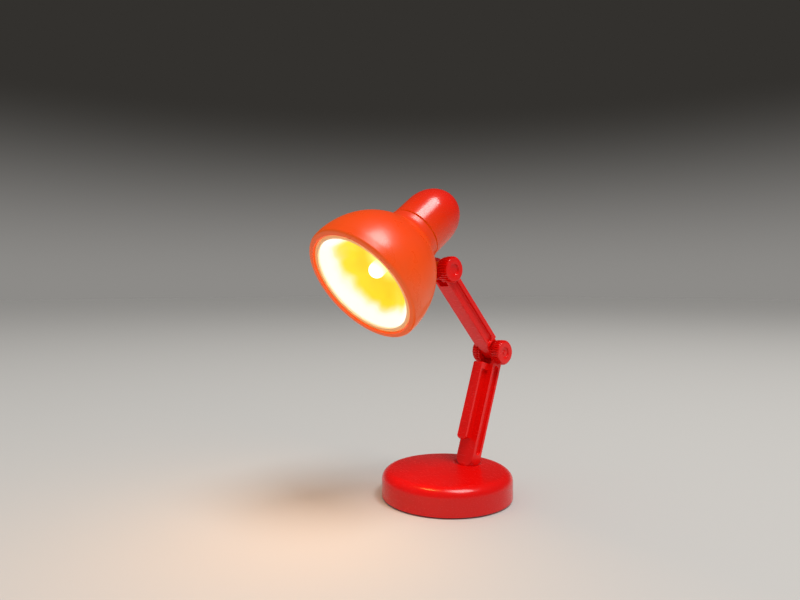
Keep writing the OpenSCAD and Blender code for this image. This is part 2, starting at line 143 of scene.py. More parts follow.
def pick(piece: Piece) -> None:
    """Makes one piece the only selected and active one.

    Args:
        piece: The piece.
    """
    deselect()
    piece.select_set(True)
    bpy.context.view_layer.objects.active = piece


def named(name: str) -> Piece:
    """Names the active object and its mesh.

    Args:
        name: The name.

    Returns:
        The active object.
    """
    piece = bpy.context.view_layer.objects.active
    piece.name = name
    piece.data.name = name
    return piece


def bake() -> None:
    """Bakes the selected piece's place, turn and scale into its mesh."""
    bpy.ops.object.transform_apply(location=True, rotation=True, scale=True)


def close_up() -> None:
    """Welds the edited mesh, turns its faces outwards and leaves edit mode."""
    bpy.ops.mesh.select_all(action="SELECT")
    bpy.ops.mesh.remove_doubles(threshold=WELD)
    bpy.ops.mesh.normals_make_consistent(inside=False)
    bpy.ops.object.mode_set(mode="OBJECT")


def settle(piece: Piece, place: Vector = Vector(), lean: float = 0.0, turn: float = 0.0) -> Piece:
    """Moves a piece to its place in the frame and bakes that into its mesh.

    Args:
        piece: The piece, modelled in its own frame.
        place: Where its own origin goes, in metres.
        lean: Turn about X, in radians.
        turn: Turn about Z, made before the lean, in radians.

    Returns:
        The piece, sitting at the origin and unturned.
    """
    pick(piece)
    piece.location = place
    piece.rotation_euler = (lean, 0.0, turn)
    bake()
    return piece


def block(name: str, low: Triple, high: Triple) -> Piece:
    """Adds a cube between two corners, in millimetres.

    Args:
        name: The piece's name.
        low: Lowest corner.
        high: Highest corner.

    Returns:
        The block.
    """
    deselect()
    middle = [(a + b) / 2 * MM for a, b in zip(low, high)]
    bpy.ops.mesh.primitive_cube_add(size=1, location=middle)
    piece = named(name)
    piece.scale = [(b - a) * MM for a, b in zip(low, high)]
    bake()
    return piece


def round_ended(name: str, low: Triple, high: Triple, radius: float, steps: int = 14) -> Piece:
    """Adds a block whose four edges along X are rounded, as a moulded slot or a tongue is.

    Args:
        name: The piece's name.
        low: Lowest corner, in millimetres.
        high: Highest corner.
        radius: Radius of the rounding.
        steps: Steps in each rounding.

    Returns:
        The rounded block.
    """
    piece = block(name, low, high)
    bpy.ops.object.mode_set(mode="EDIT")
    bpy.ops.mesh.select_mode(type="EDGE")
    bpy.ops.mesh.select_all(action="DESELECT")
    shape = bmesh.from_edit_mesh(piece.data)
    for edge in shape.edges:
        run = edge.verts[1].co - edge.verts[0].co
        edge.select_set(abs(run.x) > abs(run.y) + abs(run.z))
    bmesh.update_edit_mesh(piece.data)
    bpy.ops.mesh.bevel(offset=radius * MM, segments=steps, affect="EDGES")
    bpy.ops.mesh.select_mode(type="VERT")
    close_up()
    return piece


def draw(name: str, start: Triple, steps: Sequence[Triple]) -> Piece:
    """Draws a line of points by extruding one point step by step, and stays in edit mode.

    Args:
        name: The piece's name.
        start: The first point, in millimetres.
        steps: The move from each point to the next.

    Returns:
        The line, with all its points selected.
    """
    deselect()
    bpy.ops.mesh.primitive_plane_add(size=MM)
    piece = named(name)
    bpy.ops.object.mode_set(mode="EDIT")
    bpy.ops.mesh.merge(type="CENTER")
    bpy.ops.transform.translate(value=[value * MM for value in start])
    for step in steps:
        move = {"value": [value * MM for value in step]}
        bpy.ops.mesh.extrude_vertices_move(TRANSFORM_OT_translate=move)
    bpy.ops.mesh.select_all(action="SELECT")
    return piece


def plate(name: str, outline: Sequence[Point], span: Point) -> Piece:
    """Extrudes a side view along X.

    Args:
        name: The piece's name.
        outline: The side view's points as Y and Z, in millimetres.
        span: The plate's two faces along X.

    Returns:
        The plate.
    """
    steps = [(0, y1 - y0, z1 - z0) for (y0, z0), (y1, z1) in zip(outline, outline[1:])]
    piece = draw(name, (span[0], *outline[0]), steps)
    bpy.ops.mesh.edge_face_add()
    move = {"value": ((span[1] - span[0]) * MM, 0, 0)}
    bpy.ops.mesh.extrude_region_move(TRANSFORM_OT_translate=move)
    close_up()
    return piece


def rod(name: str, radius: float, span: Point, centre: Point, sides: int = 64) -> Piece:
    """Adds a cylinder along X.

    Args:
        name: The piece's name.
        radius: Radius, in millimetres.
        span: Its two ends along X.
        centre: Its axis, as Y and Z.
        sides: Faces round it.

    Returns:
        The rod.
    """
    deselect()
    bpy.ops.mesh.primitive_cylinder_add(
        vertices=sides,
        radius=radius * MM,
        depth=(span[1] - span[0]) * MM,
        location=(sum(span) / 2 * MM, centre[0] * MM, centre[1] * MM),
        rotation=(0, math.pi / 2, 0),
    )
    piece = named(name)
    bake()
    return piece


def turned(name: str, outline: Sequence[Point], steps: int = 144) -> Piece:
    """Spins an outline about Z, as a lathe does.

    Args:
        name: The piece's name.
        outline: Points as radius and height, in millimetres.
        steps: Steps of the full turn.

    Returns:
        The turned piece.
    """
    moves = [(r1 - r0, 0, z1 - z0) for (r0, z0), (r1, z1) in zip(outline, outline[1:])]
    piece = draw(name, (outline[0][0], 0, outline[0][1]), moves)
    bpy.ops.mesh.spin(steps=steps, angle=math.tau, center=(0, 0, 0), axis=(0, 0, 1))
    close_up()
    return piece


def raise_rings(rings: Sequence[Point], back: float = 0.0) -> None:
    """Extrudes the selected circle from ring to ring, in edit mode.

    Args:
        rings: Radius and height of each ring, in millimetres, starting with the selected one.
        back: The rings' centre along Y, in metres.
    """
    for (r0, z0), (r1, z1) in zip(rings, rings[1:]):
        move = {"value": (0, 0, (z1 - z0) * MM)}
        bpy.ops.mesh.extrude_region_move(TRANSFORM_OT_translate=move)
        bpy.ops.transform.resize(value=(r1 / r0, r1 / r0, 1), center_override=(0, back, z1 * MM))


def combine(piece: Piece, how: Join, *tools: Piece) -> Piece:
    """Fuses tools to a piece, cuts them from it or keeps what they share, and removes the tools.

    Args:
        piece: The piece that stays.
        how: Fuse, cut or keep.
        *tools: Closed shapes.

    Returns:
        The piece.
    """
    for tool in tools:
        pick(piece)
        bpy.ops.object.modifier_add(type="BOOLEAN")
        boolean = piece.modifiers[-1]
        boolean.operation = how.value
        boolean.solver = "EXACT"
        boolean.object = tool
        bpy.ops.object.modifier_apply(modifier=boolean.name)
        bpy.data.meshes.remove(tool.data)
    return piece


def soften(piece: Piece, radius: float, segments: int = 3) -> Piece:
    """Rounds the sharp edges as a mould does.

    Args:
        piece: The piece.
        radius: Radius of the rounding, in millimetres.
        segments: Steps across the rounding.

    Returns:
        The piece.
    """
    pick(piece)
    bpy.ops.object.modifier_add(type="BEVEL")
    bevel = piece.modifiers[-1]
    bevel.width = radius * MM
    bevel.segments = segments
    bevel.limit_method = "ANGLE"
    bevel.angle_limit = math.radians(EDGE_ANGLE)
    bpy.ops.object.modifier_apply(modifier=bevel.name)
    return piece


def polish(piece: Piece, angle: float = 40.0) -> Piece:
    """Shades a piece smooth, and lets its large faces set the normals.

    Args:
        piece: The piece.
        angle: Edges sharper than this, in degrees, stay sharp.

    Returns:
        The piece.
    """
    pick(piece)
    bpy.ops.object.shade_smooth_by_angle(angle=math.radians(angle))
    bpy.ops.object.modifier_add(type="WEIGHTED_NORMAL")
    weighted = piece.modifiers[-1]
    weighted.keep_sharp = True
    bpy.ops.object.modifier_apply(modifier=weighted.name)
    return piece


def twin(piece: Piece, name: str) -> Piece:
    """Copies a piece with a mesh of its own.

    Args:
        piece: The piece.
        name: The copy's name.

    Returns:
        The copy.
    """
    pick(piece)
    bpy.ops.object.duplicate(linked=False)
    return named(name)


# Outlines: arcs and rounded corners


def arc(centre: Point, radii: Point, start: float, end: float, steps: int = 12) -> list[Point]:
    """Points on an ellipse.

    Args:
        centre: Its centre.
        radii: Its two half axes.
        start: First angle, in degrees.
        end: Last angle.
        steps: Steps between them.

    Returns:
        The points, both ends included.
    """
    angles = [math.radians(start + (end - start) * i / steps) for i in range(steps + 1)]
    return [(centre[0] + radii[0] * math.cos(a), centre[1] + radii[1] * math.sin(a)) for a in angles]


def rounded(corners: Sequence[Triple], steps: int = 5) -> list[Point]:
    """Rounds the inner corners of an open line.

    Args:
        corners: Points as radius, height and rounding. The two ends stay sharp.
        steps: Steps in each rounding.

    Returns:
        The line's points.
    """
    line = [corners[0][:2]]
    for before, here, after in zip(corners, corners[1:], corners[2:]):
        middle = Vector(here[:2])
        back = (Vector(before[:2]) - middle).normalized()
        ahead = (Vector(after[:2]) - middle).normalized()
        if here[2] == 0:
            line.append(here[:2])
            continue
        half = back.angle(ahead) / 2
        centre = middle + (back + ahead).normalized() * here[2] / math.sin(half)
        first = middle + back * here[2] / math.tan(half) - centre
        last = middle + ahead * here[2] / math.tan(half) - centre
        sweep = math.atan2(first.cross(last), first.dot(last))
        for i in range(steps + 1):
            angle = math.atan2(first.y, first.x) + sweep * i / steps
            line.append((centre.x + here[2] * math.cos(angle), centre.y + here[2] * math.sin(angle)))
    line.append(corners[-1][:2])
    return line


# Finishes. Nodes' sockets go by number where their names repeat: a Map Range takes 0 from the span between
# 1 and 2 to the one between 3 and 4, and a Mix of colours blends 6 and 7 by 0 into its output 2


def linear(hex_colour: str) -> tuple[float, float, float, float]:
    """Turns an sRGB hex colour, such as #d20a08, into linear red, green, blue and alpha."""
    parts = [int(hex_colour[i : i + 2], 16) / 255 for i in (1, 3, 5)]
    return (*[p / 12.92 if p <= 0.04045 else ((p + 0.055) / 1.055) ** 2.4 for p in parts], 1.0)


def per_mm(size: float) -> float:
    """The texture scale whose features are about that many millimetres across."""
    return 1 / (size * MM)


def add_node(
    tree: Tree, kind: str, inputs: dict | None = None, **settings: str
) -> bpy.types.bpy_prop_collection:
    """Adds a node, with its settings and its inputs.

    Args:
        tree: The material's or world's node tree.
        kind: The node's type, without the first words that all shader nodes share.
        inputs: Socket names or numbers, with a value or another node's output for each.
        **settings: The node's own properties.

    Returns:
        The node's outputs.
    """
    node = tree.nodes.new(f"ShaderNode{kind}")
    for name, value in settings.items():
        setattr(node, name, value)
    for socket, value in (inputs or {}).items():
        if isinstance(value, Socket):
            tree.links.new(value, node.inputs[socket])
        else:
            node.inputs[socket].default_value = value
    return node.outputs


def blank(name: str) -> tuple[Finish, Tree]:
    """Starts a material.

    Args:
        name: The material's name.

    Returns:
        The material and its empty node tree.
    """
    material = bpy.data.materials.new(name)
    material.use_nodes = True
    material.node_tree.nodes.clear()
    return material, material.node_tree


@dataclass(frozen=True)
class HeadAxis:
    """The head's axis, for patterns that run along it from the mouth or round it."""

    place: Vector
    lean: float

    def read(self, tree: Tree) -> tuple[Socket, Socket, Socket]:
        """Adds nodes that measure from the mouth.

        Args:
            tree: The material's node tree.

        Returns:
            The point in the head's own frame, its distance along the axis and its distance from the axis.
        """
        add = partial(add_node, tree)
        place = add("TexCoord")["Object"]
        mapping = {"Vector": place, "Location": self.place, "Rotation": (self.lean, 0, 0)}
        point = add("Mapping", mapping, vector_type="TEXTURE")[0]
        across, up, along = add("SeparateXYZ", {0: point})
        flat = add("CombineXYZ", {0: across, 1: up})[0]
        out = add("VectorMath", {0: flat}, operation="LENGTH")["Value"]
        return point, along, out


@dataclass(frozen=True)
class PaintedGlow:
    """Painted glow: an emission colour on a moulded wall round the mouth, standing for the light that shows
    through it, strongest at the rim, gone at its reach.
    """

    axis: HeadAxis
    colour: str
    reach: float
    lug_start: float = 330.0
    lug_end: float = 390.0

    def inputs(self, tree: Tree) -> dict[str, Socket | float]:
        """Adds the painted glow, which fades along the head's own axis.

        Args:
            tree: The material's node tree.

        Returns:
            The shader's inputs for it.
        """
        add = partial(add_node, tree)
        _, along, out = self.axis.read(tree)
        fade = add("MapRange", {0: along, 2: self.reach * MM, 3: 1.0, 4: 0.0}, **EASED)[0]
        # The painted glow is left off the lug, which lies both far back and far out
        spread = add("Math", {0: along, 1: out}, operation="MULTIPLY")[0]
        lug = {0: spread, 1: self.lug_start * MM**2, 2: self.lug_end * MM**2, 3: 1.0, 4: 0.0}
        wall = add("MapRange", lug)[0]
        share = add("Math", {0: fade, 1: wall}, operation="MULTIPLY")[0]
        light = add("Mix", {0: share, 6: linear(BLACK), 7: linear(self.colour)}, **COLOURS)[2]
        return {"Emission Color": light, "Emission Strength": 1.0}


@dataclass(frozen=True)
class MouldedPlastic:
    """Injection-moulded plastic: an even colour, and a gloss that clouds a little under hairline scuffs."""

    name: str
    colour: str
    shade: str
    roughness: float
    ior: float = 1.54
    gloss: float = 0.38
    cloud: float = 7.0
    drift: Point = (-0.04, 0.05)
    texture: float = 0.3
    relief: float = 0.02
    scuff: float = 2.2
    scuff_turn: Triple = (0.3, 0.5, 0.7)
    scuff_stretch: Triple = (1.0, 11.0, 7.0)
    scuff_share: Point = (0.6, 0.75)
    scuff_dull: float = 0.16
    # Painted glow: emission that stands for light showing through the wall, or none
    glow: PaintedGlow | None = None

    def make(self) -> Finish:
        """Builds the material.

        Returns:
            The finished material.
        """
        material, tree = blank(self.name)
        add = partial(add_node, tree)
        place = add("TexCoord")["Object"]
        # Pigment and gloss drift slowly, as they do over a moulded wall
        cloud = add("TexNoise", {"Vector": place, "Scale": per_mm(self.cloud), "Detail": 3.0})["Fac"]
        colour = add("Mix", {0: cloud, 6: linear(self.colour), 7: linear(self.shade)}, **COLOURS)[2]
        low, high = (self.roughness + drift for drift in self.drift)
        gloss = add("MapRange", {0: cloud, 1: NOISE_LOW, 2: NOISE_HIGH, 3: low, 4: high})[0]
        # Hairline scuffs: long thin streaks, drawn about 0.2 mm wide so that they show
        streak = {"Vector": place, "Rotation": self.scuff_turn, "Scale": self.scuff_stretch}
        along = add("Mapping", streak)[0]
        hairs = {"Vector": along, "Scale": per_mm(self.scuff), "Detail": 2.0, "Roughness": 0.4}
        scuff = add("TexNoise", hairs)["Fac"]
        start, end = self.scuff_share
        worn = add("MapRange", {0: scuff, 1: start, 2: end, 4: self.scuff_dull})[0]
        roughness = add("Math", {0: gloss, 1: worn}, operation="ADD")[0]
        # The mould's own fine texture
        grain = add("TexNoise", {"Vector": place, "Scale": per_mm(self.texture), "Detail": 2.0})["Fac"]
        bump = add("Bump", {"Height": grain, "Strength": 0.12, "Distance": self.relief * MM})["Normal"]
        surface = {
            "Base Color": colour,
            "Roughness": roughness,
            "Normal": bump,
            "IOR": self.ior,
            "Specular IOR Level": self.gloss,
        }
        if self.glow:
            surface |= self.glow.inputs(tree)
        shader = add("BsdfPrincipled", surface)[0]
        add("OutputMaterial", {"Surface": shader})
        return material


@dataclass(frozen=True)
class LitStyrene:
    """Glossy white polystyrene with the diode's light painted on: base colour and emission white near the
    mouth, yellow behind the diode's tip.
    """

    name: str
    axis: HeadAxis
    # Base colours: cream at the front, and behind it a painted yellow of the diode's light. The *_light
    # colours are painted emission
    front: str = "#f4ead6"
    back: str = "#eec424"
    front_light: str = "#cac6cc"
    back_light: str = "#bba50e"
    back_fade: Point = (-1.9, 2.2)
    deep_light: str = "#ae8800"
    deep_fade: Point = (2.0, 5.5)
    halo_light: str = "#e6da98"
    halo_fade: Point = (2.4, 7.6)
    halo_share: float = 0.85
    flange_lit_colour: str = "#f0b87c"
    flange_light: str = "#7c4c18"
    flange: float = 0.5
    flange_fade: Point = (0.03, 0.1)
    rim: float = 1.4
    rim_fade: float = 0.6
    tip: float = 5.6
    lobe: float = 1.1
    lobe_size: float = 7.0

    def make(self) -> Finish:
        """Builds the material.

        Returns:
            The finished material.
        """
        material, tree = blank(self.name)
        add = partial(add_node, tree)
        head, along, out = self.axis.read(tree)
        # Painted light: the diode's lens throws a faint lobed pattern, so the edge of the painted light
        # wanders by about 1 mm
        lobes = add("TexNoise", {"Vector": head, "Scale": per_mm(self.lobe_size), "Detail": 1.0})["Fac"]
        reach = self.lobe * MM
        wander = add("MapRange", {0: lobes, 1: NOISE_LOW, 2: NOISE_HIGH, 3: -reach, 4: reach})[0]
        depth = add("Math", {0: along, 1: wander}, operation="ADD")[0]
        start, end = ((self.tip + edge) * MM for edge in self.back_fade)
        behind = add("MapRange", {0: depth, 1: start, 2: end}, **EASED)[0]
        # The base colour is painted too, from cream to the yellow of the light behind the diode's tip
        inner = add("Mix", {0: behind, 6: linear(self.front), 7: linear(self.back)}, **COLOURS)[2]
        lights = {0: behind, 6: linear(self.front_light), 7: linear(self.back_light)}
        bowl = add("Mix", lights, **COLOURS)[2]
        # The painted light turns golden towards the floor, and a painted haze round the diode pales it again
        # close in
        start, end = ((self.tip + edge) * MM for edge in self.deep_fade)
        deep = add("MapRange", {0: depth, 1: start, 2: end}, **EASED)[0]
        gold = add("Mix", {0: deep, 6: bowl, 7: linear(self.deep_light)}, **COLOURS)[2]
        start, end = (edge * MM for edge in self.halo_fade)
        near = add("MapRange", {0: out, 1: start, 2: end, 3: self.halo_share, 4: 0.0}, **EASED)[0]
        hazy = add("Mix", {0: near, 6: gold, 7: linear(self.halo_light)}, **COLOURS)[2]
        # The painted light starts behind the rim, so the bead in front of it gets none and shows as a darker
        # line
        inside = add("MapRange", {0: along, 1: (self.rim - self.rim_fade) * MM, 2: self.rim * MM})[0]
        lit = add("Mix", {0: inside, 6: linear(BLACK), 7: hazy}, **COLOURS)[2]
        # The flat flange faces away from the diode and gets only a painted warm tint, in its peach base
        # colour and its emission
        start, end = ((self.flange + edge) * MM for edge in self.flange_fade)
        outside = add("MapRange", {0: along, 1: start, 2: end, 3: 1.0, 4: 0.0})[0]
        colour = add("Mix", {0: outside, 6: inner, 7: linear(self.flange_lit_colour)}, **COLOURS)[2]
        light = add("Mix", {0: outside, 6: lit, 7: linear(self.flange_light)}, **COLOURS)[2]
        surface = {
            "Base Color": colour,
            "Roughness": 0.3,
            "IOR": 1.59,
            "Emission Color": light,
            "Emission Strength": 1.0,
        }
        shader = add("BsdfPrincipled", surface)[0]
        add("OutputMaterial", {"Surface": shader})
        return material


@dataclass(frozen=True)
class LitEpoxy:
    """The diode's cast clear epoxy, so bright that it shows white with a warm foot."""

    name: str
    axis: HeadAxis
    tip_colour: str = "#fffbee"
    foot_colour: str = "#ffd868"
    length: float = 4.0
    start: float = 5.6
    strength: float = 1.6

    def make(self) -> Finish:
        """Builds the material.

        Returns:
            The finished material.
        """
        material, tree = blank(self.name)
        add = partial(add_node, tree)
        _, along, _ = self.axis.read(tree)
        foot = add("MapRange", {0: along, 1: self.start * MM, 2: (self.start + self.length) * MM})[0]
        colours = {0: foot, 6: linear(self.tip_colour), 7: linear(self.foot_colour)}
        surface = {
            "Base Color": linear(self.tip_colour),
            "Roughness": 0.08,
            "IOR": 1.52,
            "Emission Color": add("Mix", colours, **COLOURS)[2],
            "Emission Strength": self.strength,
        }
        shader = add("BsdfPrincipled", surface)[0]
        add("OutputMaterial", {"Surface": shader})
        return material


@dataclass(frozen=True)
class WorkedMetal:
    """Drawn or stamped metal: bright, with a fine directional grain and a little tarnish."""

    name: str
    colour: str
    tarnish: str
    roughness: float
    drift: Point = (-0.08, 0.1)
    grain: float = 0.35
    stretch: Triple = (0.08, 1.0, 1.0)
    relief: float = 0.01
    stain: float = 2.5

    def make(self) -> Finish:
        """Builds the material.

        Returns:
            The finished material.
        """
        material, tree = blank(self.name)
        add = partial(add_node, tree)
        place = add("TexCoord")["Object"]
        # The grain runs along X, as the wire and strip were drawn
        drawn = add("Mapping", {"Vector": place, "Scale": self.stretch})[0]
        grain = add("TexNoise", {"Vector": drawn, "Scale": per_mm(self.grain), "Detail": 3.0})["Fac"]
        low, high = (self.roughness + drift for drift in self.drift)
        roughness = add("MapRange", {0: grain, 1: NOISE_LOW, 2: NOISE_HIGH, 3: low, 4: high})[0]
        bump = add("Bump", {"Height": grain, "Strength": 0.2, "Distance": self.relief * MM})["Normal"]
        # Handling and air leave faint stains
        stain = add("TexNoise", {"Vector": place, "Scale": per_mm(self.stain), "Detail": 4.0})["Fac"]
        colour = add("Mix", {0: stain, 6: linear(self.colour), 7: linear(self.tarnish)}, **COLOURS)[2]
        surface = {"Base Color": colour, "Metallic": 1.0, "Roughness": roughness, "Normal": bump}
        shader = add("BsdfPrincipled", surface)[0]
        add("OutputMaterial", {"Surface": shader})
        return material


def dress(piece: Piece, finish: Finish) -> None:
    """Gives a piece one material all over."""
    piece.data.materials.clear()
    piece.data.materials.append(finish)


def mount(piece: Piece, body: str, node: str, finish: Finish) -> None:
    """Dresses a finished piece, puts it on its body in place of a node, and reports it.

    Args:
        piece: The finished piece.
        body: The body that it moves with.
        node: The node that it stands for.
        finish: Its material.
    """
    dress(piece, finish)
    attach(piece, body)
    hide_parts(node)
    LOG.info("%s rides on %s, %d faces", piece.name, body, len(piece.data.polygons))


# The lamp's sub-assemblies


@dataclass(frozen=True)
class Skeleton:
    """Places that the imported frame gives, in metres and radians."""

    foot: Vector
    elbow: Vector
    head: Vector
    mouth: Vector
    axis: Vector

    @classmethod
    def read(cls, frame: dict) -> "Skeleton":
        """Takes the joints' places from the frame.


        Returns:
            The skeleton.
        """
        joints = {joint["name"]: joint for joint in frame["joints"]}
        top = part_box("base_shell")[1].z
        swivel = joints["arm_swivel"]["pos_m"]
        return cls(
            foot=Vector((0, swivel[1], top)),
            elbow=Vector(joints["elbow_bend"]["pos_m"]),
            head=Vector(joints["head_tilt"]["pos_m"]),
            mouth=Vector(joints["cap_twist"]["pos_m"]),
            axis=Vector(joints["cap_twist"]["axis"]),
        )

    @staticmethod
    def lean(run: Vector) -> float:
        """The turn about X that lays a piece's own Z along a run."""
        return math.atan2(-run.y, run.z)

    @property
    def lower_lean(self) -> float:
        """Lean of the lower arm."""
        return self.lean(self.elbow - self.foot)

    @property
    def upper_lean(self) -> float:
        """Lean of the upper arm."""
        return self.lean(self.head - self.elbow)

    @property
    def head_lean(self) -> float:
        """Lean of the head's axis, which runs from the mouth inwards."""
        return self.lean(self.axis)

    @property
    def lower_length(self) -> float:
        """Length of the lower arm, in millimetres."""
        return (self.elbow - self.foot).length / MM

    @property
    def upper_length(self) -> float:
        """Length of the upper arm, in millimetres."""
        return (self.head - self.elbow).length / MM


@dataclass
class Base:
    """The round weighted base: a crowned shell with a shallow seat for the arm's foot."""

    bones: Skeleton
    edge: float = 3.2
    edge_start: float = 86.0
    crown: float = 0.4
    wall: float = 1.8
    rim_round: float = 0.35
    seat_radius: float = 4.8
    seat_floor: float = 4.1
    seat_depth: float = 0.7
    seat_lip: float = 0.6
    seat_land: float = 0.7
    seat_round: float = 0.55
    floor_round: float = 0.35
    peg_radius: float = 2.56
    peg_hole: float = 0.6
    peg_round: float = 0.2
    hub_radius: float = 5.2
    hub_depth: float = 3.2
    hub_fillet: float = 0.4
    sides: int = 144
    top_rings: int = 9
    radius: float = field(init=False)
    top: float = field(init=False)
    rim: float = field(init=False)

    def __post_init__(self) -> None:
        """Takes the radius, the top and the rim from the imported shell."""
        low, high = (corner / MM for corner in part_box("base_shell"))
        self.radius, self.top, self.rim = high.x, high.z, low.z

    def build(self, finish: Finish) -> None:
        """Models the shell and puts it on the base.

        Args:
            finish: The red plastic, in its copy painted darker for shade.
        """
        deselect()
        bpy.ops.mesh.primitive_circle_add(vertices=self.sides)
        piece = named("base_shell_moulded")
        bpy.ops.object.mode_set(mode="EDIT")
        bpy.ops.mesh.delete(type="VERT")
        hole, lip = self.add_rings(piece, self.seat_rings(), self.bones.foot.y)
        mouth, root = self.add_rings(piece, self.hub_rings(), self.bones.foot.y)
        shoulder, ceiling = self.add_rings(piece, self.side_rings(), 0.0)
        self.bridge(piece, lip, shoulder, self.top_rings)
        self.bridge(piece, root, ceiling)
        self.bridge(piece, hole, mouth)
        self.lay_crown(piece)
        close_up()
        mount(polish(piece), "base", "base_shell", finish)

    @property
    def ceiling(self) -> float:
        """Height of the shell's ceiling."""
        return self.top - self.crown - self.wall

    def seat_rings(self) -> list[Point]:
        """The seat, from the peg's hole out to the lip.

        Returns:
            Radius and height of each ring.
        """
        floor = self.top - self.seat_depth
        return rounded(
            [
                (self.peg_radius, floor - self.peg_hole, 0),
                (self.peg_radius, floor, self.peg_round),
                (self.seat_floor, floor, self.floor_round),
                (self.seat_radius, self.top, self.seat_round),
                (self.seat_radius + self.seat_land, self.top, 0),
            ]
        )

    def hub_rings(self) -> list[Point]:
        """The hub under the seat, from the peg's hole out and up to the ceiling.

        Returns:
            Radius and height of each ring.
        """
        bottom = self.top - self.hub_depth
        root = self.ceiling - self.hub_fillet
        return [(self.peg_radius, bottom), (self.hub_radius, bottom), (self.hub_radius, root)]

    def side_rings(self) -> list[Point]:
        """The rounded edge, the side, the rim and the inner wall.

        Returns:
            Radius and height of each ring.
        """
        shoulder = self.top - self.crown - self.edge
        inner = self.radius - self.wall
        outer = arc((self.radius - self.edge, shoulder), (self.edge, self.edge), self.edge_start, 0, steps=14)
        rim = rounded(
            [
                (self.radius, shoulder, 0),
                (self.radius, self.rim, self.rim_round),
                (inner, self.rim, self.rim_round),
                (inner, self.ceiling, self.edge / 2),
                (inner - self.edge, self.ceiling, 0),
            ]
        )
        return outer + rim[1:]

    def add_rings(self, piece: Piece, rings: Sequence[Point], back: float) -> tuple[list[int], list[int]]:
        """Adds a circle to the mesh that is being edited, and extrudes it from ring to ring.

        Args:
            piece: The piece in edit mode.
            rings: Radius and height of each ring.
            back: The rings' centre along Y, in metres.

        Returns:
            Numbers of the first and of the last ring's points.
        """
        bpy.ops.mesh.select_all(action="DESELECT")
        radius, height = rings[0]
        place = (0, back, height * MM)
        bpy.ops.mesh.primitive_circle_add(vertices=self.sides, radius=radius * MM, location=place)
        first = self.selected(piece)
        raise_rings(rings, back)
        return first, self.selected(piece)

    @staticmethod
    def selected(piece: Piece) -> list[int]:
        """Finds the selected points.

        Args:
            piece: The piece in edit mode.

        Returns:
            Their numbers.
        """
        shape = bmesh.from_edit_mesh(piece.data)
        shape.verts.index_update()
        return [vert.index for vert in shape.verts if vert.select]

    @staticmethod
    def bridge(piece: Piece, one: list[int], other: list[int], cuts: int = 0) -> None:
        """Joins two rings with faces.

        Args:
            piece: The piece in edit mode.
            one: The points of the first ring.
            other: The points of the second.
            cuts: Rings to add between them.
        """
        bpy.ops.mesh.select_all(action="DESELECT")
        shape = bmesh.from_edit_mesh(piece.data)
        shape.verts.index_update()
        for ring in (set(one), set(other)):
            for edge in shape.edges:
                if all(vert.index in ring for vert in edge.verts):
                    edge.select_set(True)
        bmesh.update_edit_mesh(piece.data)
        bpy.ops.mesh.bridge_edge_loops(number_cuts=cuts, interpolation="LINEAR")

    def lay_crown(self, piece: Piece) -> None:
        """Lays the top's points on the crown, and the upper half of the seat's wall with them.

        Args:
            piece: The piece in edit mode.
        """
        flat = self.radius - self.edge
        lip = self.seat_radius + self.seat_lip
        floor = self.top - self.seat_depth
        shape = bmesh.from_edit_mesh(piece.data)
        for vert in shape.verts:
            reach = math.hypot(vert.co.x, vert.co.y) / MM / flat
            drop = self.crown * min(1.0, reach) ** 2
            lift = (vert.co.z / MM - floor) / self.seat_depth
            near = math.hypot(vert.co.x, vert.co.y - self.bones.foot.y) / MM
            if near > lip and vert.co.z / MM > self.top - self.crown - SLACK:
                vert.co.z = (self.top - drop) * MM
            elif near <= lip and lift > 0.5:
                vert.co.z -= drop * (2 * lift - 1) * MM
        bmesh.update_edit_mesh(piece.data)


@dataclass
class Knob:
    """A knurled disc: teeth round the side, a bevelled face, a round dish, and a hexagon pocket behind."""

    start: float
    face: float = 5.95
    radius: float = 4.27
    teeth: int = 30
    tooth_depth: float = 0.5
    back_break: float = 0.1
    bevel: float = 0.6
    bevel_round: float = 0.22
    dish_radius: float = 1.85
    dish_depth: float = 0.5
    dish_draft: float = 0.12
    dish_round: float = 0.14
    floor_round: float = 0.16
    boss: bool = False
    boss_radius: float = 0.62
    boss_draft: float = 0.08
    boss_round: float = 0.1
    middle: float = 0.12
    pocket_radius: float = 2.36
    pocket_depth: float = 1.25
    smooth: float = 50.0

    def build(self, name: str) -> Piece:
        """Models the knob on the X axis, facing +X.

        Args:
            name: The piece's name.

        Returns:
            The knob, about the origin.
        """
        piece = toothed(name, self.rings(), self.teeth, self.tooth_depth, self.radius)
        pocket = (self.start - OVER, self.start + self.pocket_depth)
        combine(piece, Join.CUT, rod("pocket", self.pocket_radius, pocket, (0, 0), sides=6))
        return polish(piece, self.smooth)

    def rings(self) -> list[Point]:
        """Rings from the back to the middle of the dish.

        Returns:
            Radius and place along X of each ring.
        """
        shell = [
            (self.radius - self.back_break, self.start),
            (self.radius, self.start + self.back_break),
            (self.radius, self.face - self.bevel),
        ]
        floor = self.face - self.dish_depth
        face = [
            (self.radius, self.face - self.bevel, 0),
            (self.radius - self.bevel, self.face, self.bevel_round),
            (self.dish_radius, self.face, self.dish_round),
            (self.dish_radius - self.dish_draft, floor, self.floor_round),
        ]
        if self.boss:
            top = self.face - self.dish_depth / 2
            face += [
                (self.boss_radius + self.boss_draft, floor, self.boss_round),
                (self.boss_radius, top, self.boss_round),
                (self.middle, top, 0),
            ]
        else:
            face += [(self.middle, floor, 0)]
        return shell + rounded(face, steps=3)[1:]


